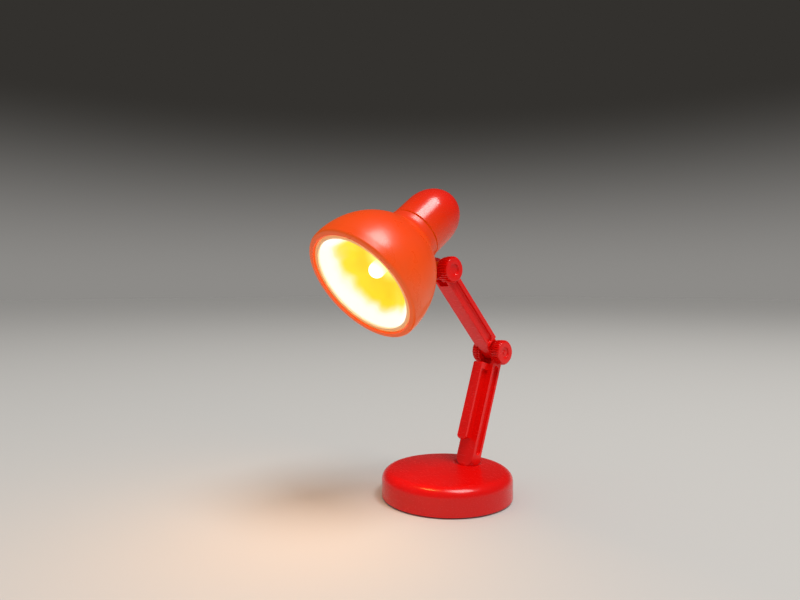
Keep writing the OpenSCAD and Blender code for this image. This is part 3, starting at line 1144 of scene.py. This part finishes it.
def toothed(name: str, rings: Sequence[Point], teeth: int, depth: float, crest: float) -> Piece:
    """Models a knurled disc along X, ring by ring.

    Args:
        name: The piece's name.
        rings: Radius and place along X of each ring, from the back to the front. Those at the crest get
            teeth.
        teeth: Number of teeth.
        depth: Depth of a tooth.
        crest: Radius of the teeth's crests.

    Returns:
        The disc.
    """
    sides = 4 * teeth
    radius, back = rings[0]
    deselect()
    bpy.ops.mesh.primitive_circle_add(
        vertices=sides, radius=radius * MM, fill_type="NGON", location=(0, 0, back * MM)
    )
    piece = named(name)
    bake()
    bpy.ops.object.mode_set(mode="EDIT")
    bpy.ops.mesh.select_all(action="SELECT")
    raise_rings(rings)
    # Two of a tooth's four steps move in to make the valley, and the other two stay out as its crest
    bpy.ops.mesh.select_all(action="DESELECT")
    shape = bmesh.from_edit_mesh(piece.data)
    for vert in shape.verts:
        step = round(math.atan2(vert.co.y, vert.co.x) / math.tau * sides) % 4
        on_crest = abs(math.hypot(vert.co.x, vert.co.y) / MM - crest) < depth / 10
        vert.select_set(on_crest and step in (0, 1))
    bmesh.update_edit_mesh(piece.data)
    inward = 1 - depth / crest
    bpy.ops.transform.resize(value=(inward, inward, 1), center_override=(0, 0, 0))
    # The flanks' twisted quads become triangles, and the flat ends stay whole
    bpy.ops.mesh.select_mode(type="FACE")
    bpy.ops.mesh.select_face_by_sides(number=4, extend=False)
    bpy.ops.mesh.quads_convert_to_tris()
    bpy.ops.mesh.select_mode(type="VERT")
    close_up()
    piece.rotation_euler = (0, math.pi / 2, 0)
    bake()
    return piece


@dataclass
class Arm:
    """What both arms have: a bar with a groove along each side, and a knurled fork on a hinge bolt."""

    bones: Skeleton
    width: float = 7.1
    depth: float = 4.2
    edge: float = 0.28
    groove_width: float = 2.4
    groove_depth: float = 0.9
    groove_shift: float = 0.0
    groove_low: float = 3.0
    groove_gap: float = 5.0
    fork: float = 4.8
    knurl_radius: float = 4.2
    ear_thick: float = 1.1
    ear_back: float = 0.15
    ear_front: float = 0.05
    bore: float = 1.25

    def cut_grooves(self, bar: Piece, length: float) -> None:
        """Cuts a round-ended groove along each side of a bar.

        Args:
            bar: The bar, up the arm along Z.
            length: The arm's length.
        """
        half, wide = self.width / 2, self.groove_width / 2
        for side in (-1, 1):
            near, far = sorted((side * (half - self.groove_depth), side * (half + OVER)))
            low = (near, -wide - self.groove_shift, self.groove_low)
            high = (far, wide - self.groove_shift, length - self.groove_gap)
            combine(bar, Join.CUT, round_ended("groove", low, high, wide * GROOVE_ROUND))

    def add_ears(self, arm: Piece, up: float, lean: float) -> None:
        """Fuses the fork's two knurled ears to an arm.

        Args:
            arm: The arm, along Z.
            up: The hinge's height in the arm's own frame.
            lean: The arm's lean at rest, at which the ears' teeth line up with the knobs'.
        """
        # A hair proud of the fork, so that no faces meet flush
        back, front = self.width / 2 - self.ear_thick - HAIR, self.width / 2 + HAIR
        knurl = Knob(start=back)
        radius = self.knurl_radius
        rings = [
            (radius - self.ear_back, back),
            (radius, back + self.ear_back),
            (radius, front - self.ear_front),
            (radius - self.ear_front, front),
        ]
        for side in Side:
            ear = toothed("ear", rings, knurl.teeth, knurl.tooth_depth, radius)
            settle(ear, Vector((0, 0, up * MM)), -lean % (math.tau / knurl.teeth), side.value)
            combine(arm, Join.FUSE, ear)

    def drill(self, arm: Piece, up: float) -> None:
        """Bores the hole for a hinge bolt, at that height in the arm's own frame."""
        combine(arm, Join.CUT, rod("bore", self.bore, (-self.width, self.width), (0, up)))


@dataclass
class LowerArm(Arm):
    """The rear bar with its side grooves and fork, the front rail, and the foot that turns in the base."""

    stop_back: float = 1.0
    stop_round: float = 2.75
    stop_top: float = -25.0
    rail_width: float = 3.7
    rail_reach: float = 4.0
    rail_strip: float = 0.9
    rail_low: float = 6.8
    rail_gap: float = 5.0
    rail_block: float = 2.3
    rail_corner: float = 0.8
    rail_end: float = 1.5
    rail_lap: float = 0.5
    web_gap: float = 0.4
    web_edge: float = 0.168
    heel_radius: float = 4.25
    heel_up: float = 1.9
    heel_low: float = 0.6
    heel_reach: float = 30.0
    peg_radius: float = 2.5
    peg_depth: float = 3.15
    peg_round: float = 0.2
    dome: float = 1.3

    def build(self, finish: Finish) -> None:
        """Models the arm and puts it on its body.

        Args:
            finish: The red plastic.
        """
        length = self.bones.lower_length
        arm = self.bar(length)
        combine(arm, Join.FUSE, self.rail_front(length), self.rail_web(length))
        self.add_ears(arm, length, self.bones.lower_lean)
        self.drill(arm, length)
        settle(arm, self.bones.foot, self.bones.lower_lean)
        combine(arm, Join.CUT, self.heel())
        combine(arm, Join.FUSE, self.foot())
        mount(polish(arm), "lower_arm", "lower_arm", finish)

    def bar(self, length: float) -> Piece:
        """Models the rear bar, up the arm along Z, with its fork slot and side grooves.

        Args:
            length: The arm's length.

        Returns:
            The bar.
        """
        half, back = self.width / 2, self.depth / 2
        inner = half - self.ear_thick
        bar = block("lower_arm_moulded", (-half, -back, -self.heel_radius), (half, back, length))
        combine(bar, Join.CUT, plate("slot", self.slot(length), (-inner, inner)))
        self.cut_grooves(bar, length)
        return soften(bar, self.edge)

    def slot(self, length: float) -> list[Point]:
        """Draws the fork's slot, which leaves a stop behind the upper arm's round tongue.

        Args:
            length: The arm's length.

        Returns:
            The points of its side view.
        """
        floor, top = length - self.fork, length + CLEAR
        turn = -math.degrees(math.acos(self.stop_back / self.stop_round))
        stop = arc((0, length), (self.stop_round, self.stop_round), turn, self.stop_top, steps=10)
        front = [(-CLEAR, top), (-CLEAR, floor), (self.stop_back, floor)]
        return [*front, *stop, (CLEAR, stop[-1][1]), (CLEAR, top)]

    def rail_front(self, length: float) -> Piece:
        """Models the rail's front strip, with the solid block at its upper end.

        Args:
            length: The arm's length.

        Returns:
            The strip.
        """
        front = -self.depth / 2 - self.rail_reach
        back = front + self.rail_strip
        root = -self.depth / 2 + self.rail_lap
        high = length - self.rail_gap
        outline = rounded(
            [
                (root, high - self.rail_block, 0),
                (root, high, 0),
                (front, high, self.rail_corner),
                (front, self.rail_low, self.rail_corner),
                (back, self.rail_low, 0),
                (back, high - self.rail_block, 0),
            ]
        )
        rail = plate("rail", outline, (-self.rail_width / 2, self.rail_width / 2))
        side, low = self.rail_width / 2 + HAIR, self.rail_low - HAIR
        tongue = rounded(
            [
                (-side, high + OVER, 0),
                (-side, low, self.rail_end),
                (side, low, self.rail_end),
                (side, high + OVER, 0),
            ],
            steps=8,
        )
        end = settle(plate("end", tongue, (front - OVER, root + OVER)), turn=math.pi / 2)
        return soften(combine(rail, Join.KEEP, end), self.edge, segments=4)

    def rail_web(self, length: float) -> Piece:
        """Models the thin web between the rail's strip and the bar.

        Args:
            length: The arm's length.

        Returns:
            The web.
        """
        half = self.rail_width / 2 - self.groove_depth
        front = -self.depth / 2 - self.rail_reach + self.rail_strip / 2
        low = (-half, front, self.rail_low + self.rail_strip)
        high = (half, -self.depth / 2 + self.rail_lap, length - self.rail_gap - self.web_gap)
        return soften(block("web", low, high), self.web_edge)

    def heel(self) -> Piece:
        """Models what is cut away round the bar's lower end, so that its corners run in to the peg.

        Returns:
            The cutter, in its place.
        """
        middle = self.bones.foot.z / MM + self.heel_up
        sole = self.bones.foot.z / MM - self.heel_low
        angle = math.degrees(math.asin((sole - middle) / self.heel_radius))
        round_end = arc((0, middle), (self.heel_radius, self.heel_radius), 0, angle, steps=14)
        under = [(0, sole - CLEAR), (self.heel_reach, sole - CLEAR), (self.heel_reach, middle)]
        cutter = turned("heel", [*under, *round_end, (0, sole)], steps=96)
        back = -math.tan(self.bones.lower_lean) * self.heel_up * MM
        return settle(cutter, Vector((0, self.bones.foot.y + back, 0)))

    def foot(self) -> Piece:
        """Models the peg under the bar, domed at its upper end, on the swivel axis.

        Returns:
            The peg, in its place.
        """
        top = self.bones.foot.z / MM
        low, high = top - self.peg_depth, top - self.heel_low / 2
        peg = rounded([(0, low, 0), (self.peg_radius, low, self.peg_round), (self.peg_radius, high, 0)])
        dome = arc((0, high), (self.peg_radius, self.dome), 0, 90, steps=16)
        return settle(turned("foot", peg[:-1] + dome, steps=90), Vector((0, self.bones.foot.y, 0)))


@dataclass
class UpperArm(Arm):
    """The grooved bar between the elbow and the head, with a tongue below and a fork above."""

    width: float = 6.0
    depth: float = 5.3
    groove_width: float = 2.6
    groove_shift: float = 0.3
    groove_low: float = 5.6
    groove_gap: float = 4.6
    knurl_radius: float = 4.1
    bore: float = 1.26
    end_radius: float = 3.2
    shoulder: float = 4.8
    tongue_width: float = 4.2
    tongue_inset: float = 0.1
    tongue_lap: float = 0.6
    tongue_edge: float = 0.196

    def build(self, finish: Finish) -> None:
        """Models the arm and puts it on its body.

        Args:
            finish: The red plastic.
        """
        length = self.bones.upper_length
        arm = combine(self.bar(length), Join.FUSE, self.tongue())
        self.add_ears(arm, length, self.bones.upper_lean)
        for hinge in (0, length):
            self.drill(arm, hinge)
        settle(arm, self.bones.elbow, self.bones.upper_lean)
        mount(polish(arm), "upper_arm", "upper_arm", finish)

    def bar(self, length: float) -> Piece:
        """Models the bar with its fork and side grooves, up the arm along Z.

        Args:
            length: The arm's length.

        Returns:
            The bar.
        """
        half, back = self.width / 2, self.depth / 2
        inner = half - self.ear_thick
        turn = math.degrees(math.acos(back / self.end_radius))
        end = arc((0, length), (self.end_radius, self.end_radius), 180 + turn, -turn, steps=32)
        outline = [(-back, self.shoulder), *end, (back, self.shoulder)]
        bar = plate("upper_arm_moulded", outline, (-half, half))
        slot = block("slot", (-inner, -CLEAR, length - self.fork), (inner, CLEAR, length + CLEAR))
        combine(bar, Join.CUT, slot)
        self.cut_grooves(bar, length)
        return soften(bar, self.edge)

    def tongue(self) -> Piece:
        """Models the tongue between the elbow's ears, round about the elbow's axis.

        Returns:
            The tongue.
        """
        back = self.depth / 2
        waist, top = back - self.tongue_inset, self.shoulder + self.tongue_lap
        outline = [(-waist, top), *arc((0, 0), (back, back), 180, 360, steps=32), (waist, top)]
        tongue = plate("tongue", outline, (-self.tongue_width / 2, self.tongue_width / 2))
        return soften(tongue, self.tongue_edge)


@dataclass
class Head:
    """The bell shade with its reflector, lit diode and twist cap, about the axis from the mouth inwards."""

    bones: Skeleton
    mouth_radius: float = 19.6
    mouth_round: float = 0.3
    lip: float = 0.74
    bell_radius: float = 19.8
    skirt: float = 2.5
    crown: float = 23.0
    wall: float = 1.7
    flare_angle: float = 56.5
    flare_steps: int = 20
    neck_radius: float = 9.3
    neck_land: float = 1.55
    neck_round: float = 0.1
    collar_radius: float = 7.74
    collar_length: float = 6.0
    collar_round: float = 0.2
    bore_radius: float = 6.8
    shoulder_radius: float = 9.0
    ledge_lap: float = 0.5
    seam: float = 0.25
    seam_fill: float = 0.2
    seam_back: float = 0.38
    seam_depth: float = 1.0
    lug_width: float = 3.1
    lug_radius: float = 3.2
    lug_lap: float = 1.0
    lug_bore: float = 1.26
    lug_turn: Point = (-45.0, 135.0)
    lug_edge: float = 0.22
    flange_radius: float = 17.6
    flange_inset: float = 0.5
    flange_thick: float = 0.9
    flange_round: float = 0.15
    flange_gap: float = 0.1
    bowl_radius: float = 16.3
    bowl_depth: float = 12.4
    bowl_wall: float = 0.9
    bowl_steps: int = 36
    # The fine groove in the flange and the bead that it leaves round the bowl: how far out from the bowl,
    # how deep behind the flange's face, and the rounding
    bead: tuple[Triple, ...] = (
        (0.42, 0.0, 0.04),
        (0.36, 0.16, 0.0),
        (0.24, 0.16, 0.0),
        (0.16, 0.0, 0.05),
        (0.0, 0.08, 0.08),
    )
    hub_radius: float = 4.5
    hub_hole: float = 2.6
    led_radius: float = 2.5
    led_length: float = 7.7
    led_gap: float = 0.05
    led_flange: float = 2.9
    led_flange_thick: float = 1.0
    led_round: float = 0.1
    cap_radius: float = 9.1
    cap_side: float = 8.2
    cap_dome: float = 11.6
    cap_wall: float = 1.3
    cap_round: float = 0.12
    cap_inner_round: float = 0.15
    post_radius: float = 3.4
    flare_radius: float = field(init=False)
    flare_start: float = field(init=False)
    flare_slope: float = field(init=False)
    flare_arc: float = field(init=False)
    seam_place: float = field(init=False)
    pivot_up: float = field(init=False)
    pivot_drop: float = field(init=False)

    def __post_init__(self) -> None:
        """Works out the flare, the seam and the pivot's place in the head's own frame."""
        angle = math.radians(self.flare_angle)
        self.flare_radius = self.bell_radius * math.cos(angle)
        self.flare_start = self.skirt + self.crown * math.sin(angle)
        self.flare_slope = math.atan(self.bell_radius / self.crown * math.tan(angle))
        self.flare_arc = (self.flare_radius - self.neck_radius) / (1 - math.cos(self.flare_slope))
        self.seam_place = self.flare_start + self.flare_arc * math.sin(self.flare_slope) + self.neck_land
        run = (self.bones.head - self.bones.mouth) / MM
        self.pivot_up = run.dot(self.bones.axis)
        self.pivot_drop = (run - self.bones.axis * self.pivot_up).length

    def build(self, satin: Finish, glossy: Finish, white: Finish, lens: Finish) -> None:
        """Models the head's pieces and puts them on their bodies.

        Args:
            satin: The shade's red plastic, with a painted glow of the light through it.
            glossy: The cap's, which is smoother and has the same painted glow.
            white: The reflector's lit plastic.
            lens: The diode's lit epoxy.
        """
        mount(self.stand(self.shade()), "head", "shade", satin)
        mount(self.stand(self.reflector()), "head", "reflector", white)
        mount(self.stand(self.diode()), "head", "led", lens)
        mount(self.stand(self.cap()), "cap", "twist_cap", glossy)

    def stand(self, piece: Piece) -> Piece:
        """Polishes a piece and lays it on the head's axis."""
        return polish(settle(piece, self.bones.mouth, self.bones.head_lean))

    @property
    def ledge(self) -> float:
        """Place of the ledge behind the reflector's flange, along the axis."""
        return self.flange_inset + self.flange_thick

    def shade(self) -> Piece:
        """Models the bell with its neck and collar, and the lug that carries it.

        Returns:
            The shade, with its axis along Z.
        """
        inner = self.flange_radius + self.flange_gap
        rim = rounded(
            [
                (inner, self.ledge, 0),
                (inner, 0, self.mouth_round),
                (self.mouth_radius, 0, self.lip),
                (self.bell_radius, self.skirt, 0),
            ],
            steps=6,
        )
        bell = arc((0, self.skirt), (self.bell_radius, self.crown), 0, self.flare_angle, steps=44)
        outline = [*rim[:-1], *bell, *self.neck(), *self.hollow(), (inner, self.ledge)]
        shade = combine(turned("shade_moulded", outline, steps=192), Join.FUSE, self.lug())
        bore = rod("bore", self.lug_bore, (-CLEAR, CLEAR), (self.pivot_drop, self.pivot_up))
        return combine(shade, Join.CUT, bore)

    def neck(self) -> list[Point]:
        """Draws the flare into the neck, the seam, the collar inside the cap and the collar's bore.

        Returns:
            Radius and place along the axis of each point.
        """
        seam, start = self.seam_place, self.seam_place - self.neck_land
        slopes = [self.flare_slope * (1 - i / self.flare_steps) for i in range(1, self.flare_steps)]
        flare = [
            (self.neck_radius + self.flare_arc * (1 - math.cos(t)), start - self.flare_arc * math.sin(t))
            for t in slopes
        ]
        groove = self.neck_radius - self.seam_depth
        front, back = seam - self.seam_back, seam + self.seam * (1 - self.seam_fill)
        end = seam + self.collar_length
        neck = rounded(
            [
                (*flare[-1], 0),
                (self.neck_radius, front, self.neck_round),
                (groove, front, 0),
                (groove, back, 0),
                (self.collar_radius, back, 0),
                (self.collar_radius, end, self.collar_round),
                (self.bore_radius, end, self.collar_round),
                (self.bore_radius, self.shoulder_place, 0),
                (self.shoulder_radius, self.shoulder_place, 0),
            ]
        )
        return flare + neck[1:]

    @property
    def shoulder_place(self) -> float:
        """Place of the inner shoulder along the axis."""
        hollow = self.bell_radius - self.wall
        return self.skirt + (self.crown - self.wall) * math.sin(math.acos(self.shoulder_radius / hollow))

    def hollow(self) -> list[Point]:
        """Draws the bell's inside, from the shoulder to the ledge behind the reflector's flange.

        Returns:
            Radius and place along the axis of each point.
        """
        radius = self.bell_radius - self.wall
        mouth = self.flange_radius - self.ledge_lap
        start, end = (math.degrees(math.acos(r / radius)) for r in (self.shoulder_radius, mouth))
        inside = arc((0, self.skirt), (radius, self.crown - self.wall), start, end, steps=24)
        return [*inside[1:], (mouth, self.ledge)]

    def lug(self) -> Piece:
        """Models the lug: a web from the back of the bell to a round end on the head's hinge.

        Returns:
            The lug.
        """
        lap = self.lug_lap
        end = arc(
            (self.pivot_drop, self.pivot_up), (self.lug_radius, self.lug_radius), *self.lug_turn, steps=28
        )
        outline = [
            (self.flare_radius + lap, self.flare_start - 1.5 * lap),
            *end,
            (self.neck_radius + lap, self.seam_place - lap / 2),
            (self.neck_radius - lap, self.seam_place - lap),
            (self.flare_radius + lap / 2, self.flare_start - 1.5 * lap),
        ]
        return soften(plate("lug", outline, (-self.lug_width / 2, self.lug_width / 2)), self.lug_edge)

    def reflector(self) -> Piece:
        """Models the bowl: a flat flange with a fine bead, a parabola and a floor round the diode.

        Returns:
            The reflector, with its axis along Z.
        """
        bowl, ledge = self.bowl_radius, self.ledge
        front = rounded(
            [
                (self.flange_radius, ledge, 0),
                (self.flange_radius, self.flange_inset, self.flange_round),
                *[(bowl + out, self.flange_inset + deep, turn) for out, deep, turn in self.bead],
                (bowl, ledge, 0),
            ],
            steps=3,
        )
        steps = self.bowl_steps
        radii = [bowl + (self.hub_radius - bowl) * i / steps for i in range(steps + 1)]
        drop, reach = self.bowl_depth - ledge, bowl**2 - self.hub_radius**2
        inside = [(r, ledge + drop * (bowl**2 - r**2) / reach) for r in radii]
        floor = [(self.hub_hole, self.bowl_depth), (self.hub_hole, self.bowl_depth + self.bowl_wall)]
        outside = [(r + self.bowl_wall / 4, s + self.bowl_wall) for r, s in reversed(inside)]
        back = [(bowl + self.bowl_wall / 2, ledge), (self.flange_radius, ledge)]
        return turned("reflector_moulded", front[:-1] + inside + floor + outside + back, steps=192)

    def diode(self) -> Piece:
        """Models the diode: a round-nosed lens on its flange.

        Returns:
            The diode, with its axis along Z.
        """
        flange = self.bowl_depth + self.bowl_wall + self.led_gap
        back = flange + self.led_flange_thick
        tip = flange - self.led_length
        nose = arc((0, tip + self.led_radius), (self.led_radius, self.led_radius), -90, 0, steps=16)
        foot = rounded(
            [
                (*nose[-1], 0),
                (self.led_radius, flange, 0),
                (self.led_flange, flange, self.led_round),
                (self.led_flange, back, self.led_round),
                (0, back, 0),
            ]
        )
        return turned("led_lens", nose + foot[1:], steps=64)

    def cap(self) -> Piece:
        """Models the domed cap, with the post inside that carries the rear contact.

        Returns:
            The cap, with its axis along Z.
        """
        start = self.seam_place + self.seam
        dome = start + self.cap_side
        inner = self.cap_radius - self.cap_wall
        post = self.back_of("cap_contact")
        post_angle = math.degrees(math.acos(self.post_radius / inner))
        outer = arc((0, dome), (self.cap_radius, self.cap_dome), 0, 90, steps=30)
        inside = arc((0, dome), (inner, self.cap_dome - self.cap_wall), post_angle, 0, steps=16)
        skirt = rounded(
            [
                (inner, dome, 0),
                (inner, start, self.cap_inner_round),
                (self.cap_radius, start, self.cap_round),
                (*outer[0], 0),
            ]
        )
        outline = [(0, post), (self.post_radius, post), *inside, *skirt[1:-1], *outer]
        return turned("twist_cap_moulded", outline, steps=160)

    def back_of(self, node: str) -> float:
        """Measures how far the back of a disc on the head's axis lies from the mouth.

        Args:
            node: The disc's node.

        Returns:
            The distance along the axis, in millimetres.
        """
        low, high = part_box(node)
        size, axis = high - low, self.bones.axis
        thick = (size.y - size.x * abs(axis.z)) / abs(axis.y)
        middle = ((low + high) / 2 - self.bones.mouth).dot(axis)
        return (middle + thick / 2) / MM


# The studio


@dataclass(frozen=True)
class Studio:
    """A pale floor, soft lamps above, and the camera at the photograph's angle."""

    bones: Skeleton
    eye: Triple = (142.5, -146.8, 68.56)
    azimuth: float = 48.5
    pitch: float = 1.106
    lens: float = 27.96
    sensor: float = 36.0
    floor_colour: str = "#c2bfba"
    floor_reach: float = 4000.0
    floor_gap: float = 0.02
    fibre: float = 0.8
    fibre_relief: float = 0.03
    horizon_colour: str = "#8d8b88"
    sky_colour: str = "#33312e"
    sky_rise: float = 0.28
    sky_light: float = 0.52
    panel_from: Triple = (0.37, 0.0, 0.93)
    panel_far: float = 1200.0
    panel_size: Point = (500.0, 560.0)
    panel_light: float = 10.6
    beam_size: float = 26.0
    beam_inset: float = 1.0
    beam_colour: str = "#ffae50"
    beam_light: float = 0.042

    def build(self) -> None:
        """Makes the camera, the floor, the world and the lamps."""
        self.camera()
        self.floor()
        self.world()
        self.overhead()
        self.diode_beam()
        bpy.context.scene.view_settings.view_transform = "Standard"

    def camera(self) -> None:
        """Puts the camera where the photograph was taken from."""
        data = bpy.data.cameras.new("camera")
        data.lens = self.lens
        data.sensor_width = self.sensor
        data.clip_start = MM
        camera = bpy.data.objects.new("camera", data)
        camera.location = [value * MM for value in self.eye]
        camera.rotation_euler = (math.radians(90 - self.pitch), 0, math.radians(self.azimuth))
        bpy.context.scene.collection.objects.link(camera)
        bpy.context.scene.camera = camera

    def floor(self) -> None:
        """Lays a wide matt floor under the lamp."""
        deselect()
        place = (0, 0, -self.floor_gap * MM)
        bpy.ops.mesh.primitive_plane_add(size=2 * self.floor_reach * MM, location=place)
        floor = named("floor")
        material, tree = blank("matt studio paper")
        add = partial(add_node, tree)
        place = add("TexCoord")["Object"]
        fibre = add("TexNoise", {"Vector": place, "Scale": per_mm(self.fibre), "Detail": 3.0})["Fac"]
        bump = add("Bump", {"Height": fibre, "Strength": 0.1, "Distance": self.fibre_relief * MM})[0]
        paper = {"Base Color": linear(self.floor_colour), "Roughness": 0.9, "Normal": bump}
        shader = add("BsdfPrincipled", paper)[0]
        # Clear from below, so that the underside can be looked at
        below = add("NewGeometry")["Backfacing"]
        clear = add("BsdfTransparent")[0]
        surface = add("MixShader", {0: below, 1: shader, 2: clear})[0]
        add("OutputMaterial", {"Surface": surface})
        dress(floor, material)

    def world(self) -> None:
        """Makes a backdrop that is pale at the horizon and darker above, and an even light for the rest."""
        world = bpy.data.worlds.new("studio")
        world.use_nodes = True
        world.node_tree.nodes.clear()
        add = partial(add_node, world.node_tree)
        rays = add("LightPath")
        shown = add("Math", {0: rays["Is Camera Ray"], 1: rays["Is Glossy Ray"]}, operation="MAXIMUM")[0]
        seen = add("Math", {0: shown, 1: rays["Is Transmission Ray"]}, operation="MAXIMUM")[0]
        way = add("TexCoord")["Generated"]
        height = add("SeparateXYZ", {0: way})["Z"]
        rise = add("MapRange", {0: height, 2: self.sky_rise}, **EASED)[0]
        greys = {0: rise, 6: linear(self.horizon_colour), 7: linear(self.sky_colour)}
        backdrop = add("Mix", greys, **COLOURS)[2]
        light = (*[self.sky_light] * 3, 1.0)
        colour = add("Mix", {0: seen, 6: light, 7: backdrop}, **COLOURS)[2]
        sky = add("Background", {"Color": colour, "Strength": 1.0})[0]
        add("OutputWorld", {"Surface": sky})
        bpy.context.scene.world = world

    @staticmethod
    def lamp(name: str, place: Vector, way: Vector, energy: float) -> Piece:
        """Hangs an area lamp that the camera doesn't see.

        Args:
            name: The lamp's name.
            place: Its middle, in metres.
            way: The direction that it shines in.
            energy: Its light, in watts.

        Returns:
            The lamp.
        """
        data = bpy.data.lights.new(name, "AREA")
        data.energy = energy
        lamp = bpy.data.objects.new(name, data)
        lamp.location = place
        lamp.rotation_euler = way.to_track_quat("-Z", "Y").to_euler()
        lamp.visible_camera = False
        bpy.context.scene.collection.objects.link(lamp)
        return lamp

    def overhead(self) -> None:
        """Hangs a soft panel above, a little to the right."""
        way = Vector(self.panel_from).normalized()
        place = self.bones.elbow + way * self.panel_far * MM
        panel = self.lamp("overhead", place, -way, self.panel_light).data
        panel.shape = "RECTANGLE"
        panel.size, panel.size_y = (side * MM for side in self.panel_size)

    def diode_beam(self) -> None:
        """Adds the diode's own warm light out of the mouth, which moves with the head."""
        place = self.bones.mouth + self.bones.axis * self.beam_inset * MM
        beam = self.lamp("diode_beam", place, -self.bones.axis, self.beam_light)
        beam.data.shape = "DISK"
        beam.data.size = self.beam_size * MM
        beam.data.color = linear(self.beam_colour)[:3]
        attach(beam, "head")


def knobs(bones: Skeleton, finish: Finish) -> None:
    """Models one knob for each hinge and sets a copy on either side of it.

    Args:
        bones: The skeleton.
        finish: The red plastic.
    """
    for hinge, place, arm, start, boss in (
        ("elbow", bones.elbow, "lower_arm", 3.6, True),
        ("head", bones.head, "upper_arm", 3.05, False),
    ):
        right = Knob(start=start, boss=boss).build(f"{hinge}_knob_right_knurled")
        left = twin(right, f"{hinge}_knob_left_knurled")
        settle(right, place, turn=Side.RIGHT.value)
        settle(left, place, turn=Side.LEFT.value)
        mount(right, f"{hinge}_knob", f"{hinge}_knob_right", finish)
        mount(left, arm, f"{hinge}_knob_left", finish)


def dress_hidden(frame: dict, finishes: dict[Slot, Finish]) -> None:
    """Gives each node that stays as it was made the finish of its slot.

    Args:
        finishes: The material for each slot.
    """
    for row in frame["record"]["subparts"]:
        piece = frame["nodes"][row["node"]]
        if not piece.hide_render:
            dress(piece, finishes[Slot(row["material_slot"])])
            LOG.info("%s keeps its shape in %s", row["node"], row["material_slot"])


def main() -> None:
    """Loads the frame, models and dresses the lamp, and sets the studio."""
    logging.basicConfig(level=logging.INFO, format="%(message)s")
    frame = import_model()
    bones = Skeleton.read(frame)
    axis = HeadAxis(bones.mouth, bones.head_lean)
    glow = PaintedGlow(axis, colour="#7e4b00", reach=52.0)
    # Two copies of one red plastic: the base's painted darker for the shade on it, the arms' and knobs'
    # painted lighter for the light they catch
    shaded_red = MouldedPlastic("red ABS, moulded, painted darker for shade", "#de0704", "#d00503", roughness=0.22).make()
    red = MouldedPlastic("red ABS, moulded", "#f00d06", "#e20a05", roughness=0.22).make()
    # The shade and the cap carry the painted glow of the light through the red wall
    lit_red = partial(MouldedPlastic, colour="#e80905", shade="#da0604", gloss=0.48, glow=glow)
    Studio(bones).build()
    Base(bones).build(shaded_red)
    LowerArm(bones).build(red)
    UpperArm(bones).build(red)
    knobs(bones, red)
    Head(bones).build(
        lit_red("satin red ABS, lit from inside", roughness=0.29).make(),
        lit_red("red ABS, lit from inside", roughness=0.22).make(),
        LitStyrene("white polystyrene, lit", axis).make(),
        LitEpoxy("clear epoxy, lit", axis).make(),
    )
    dress_hidden(
        frame,
        {
            Slot.RED: red,
            Slot.STEEL: WorkedMetal("zinc-plated steel", "#c9ccd0", "#a9adb3", roughness=0.32).make(),
            Slot.BRASS: WorkedMetal("spring brass, stamped", "#d8b25a", "#b08a3c", roughness=0.3).make(),
            Slot.DARK: MouldedPlastic("dark ABS, moulded", "#2b2b2d", "#222224", roughness=0.45).make(),
            Slot.BOARD: MouldedPlastic("green solder mask", "#1f6b36", "#185a2c", roughness=0.35).make(),
        },
    )


if __name__ == "__main__":
    main()
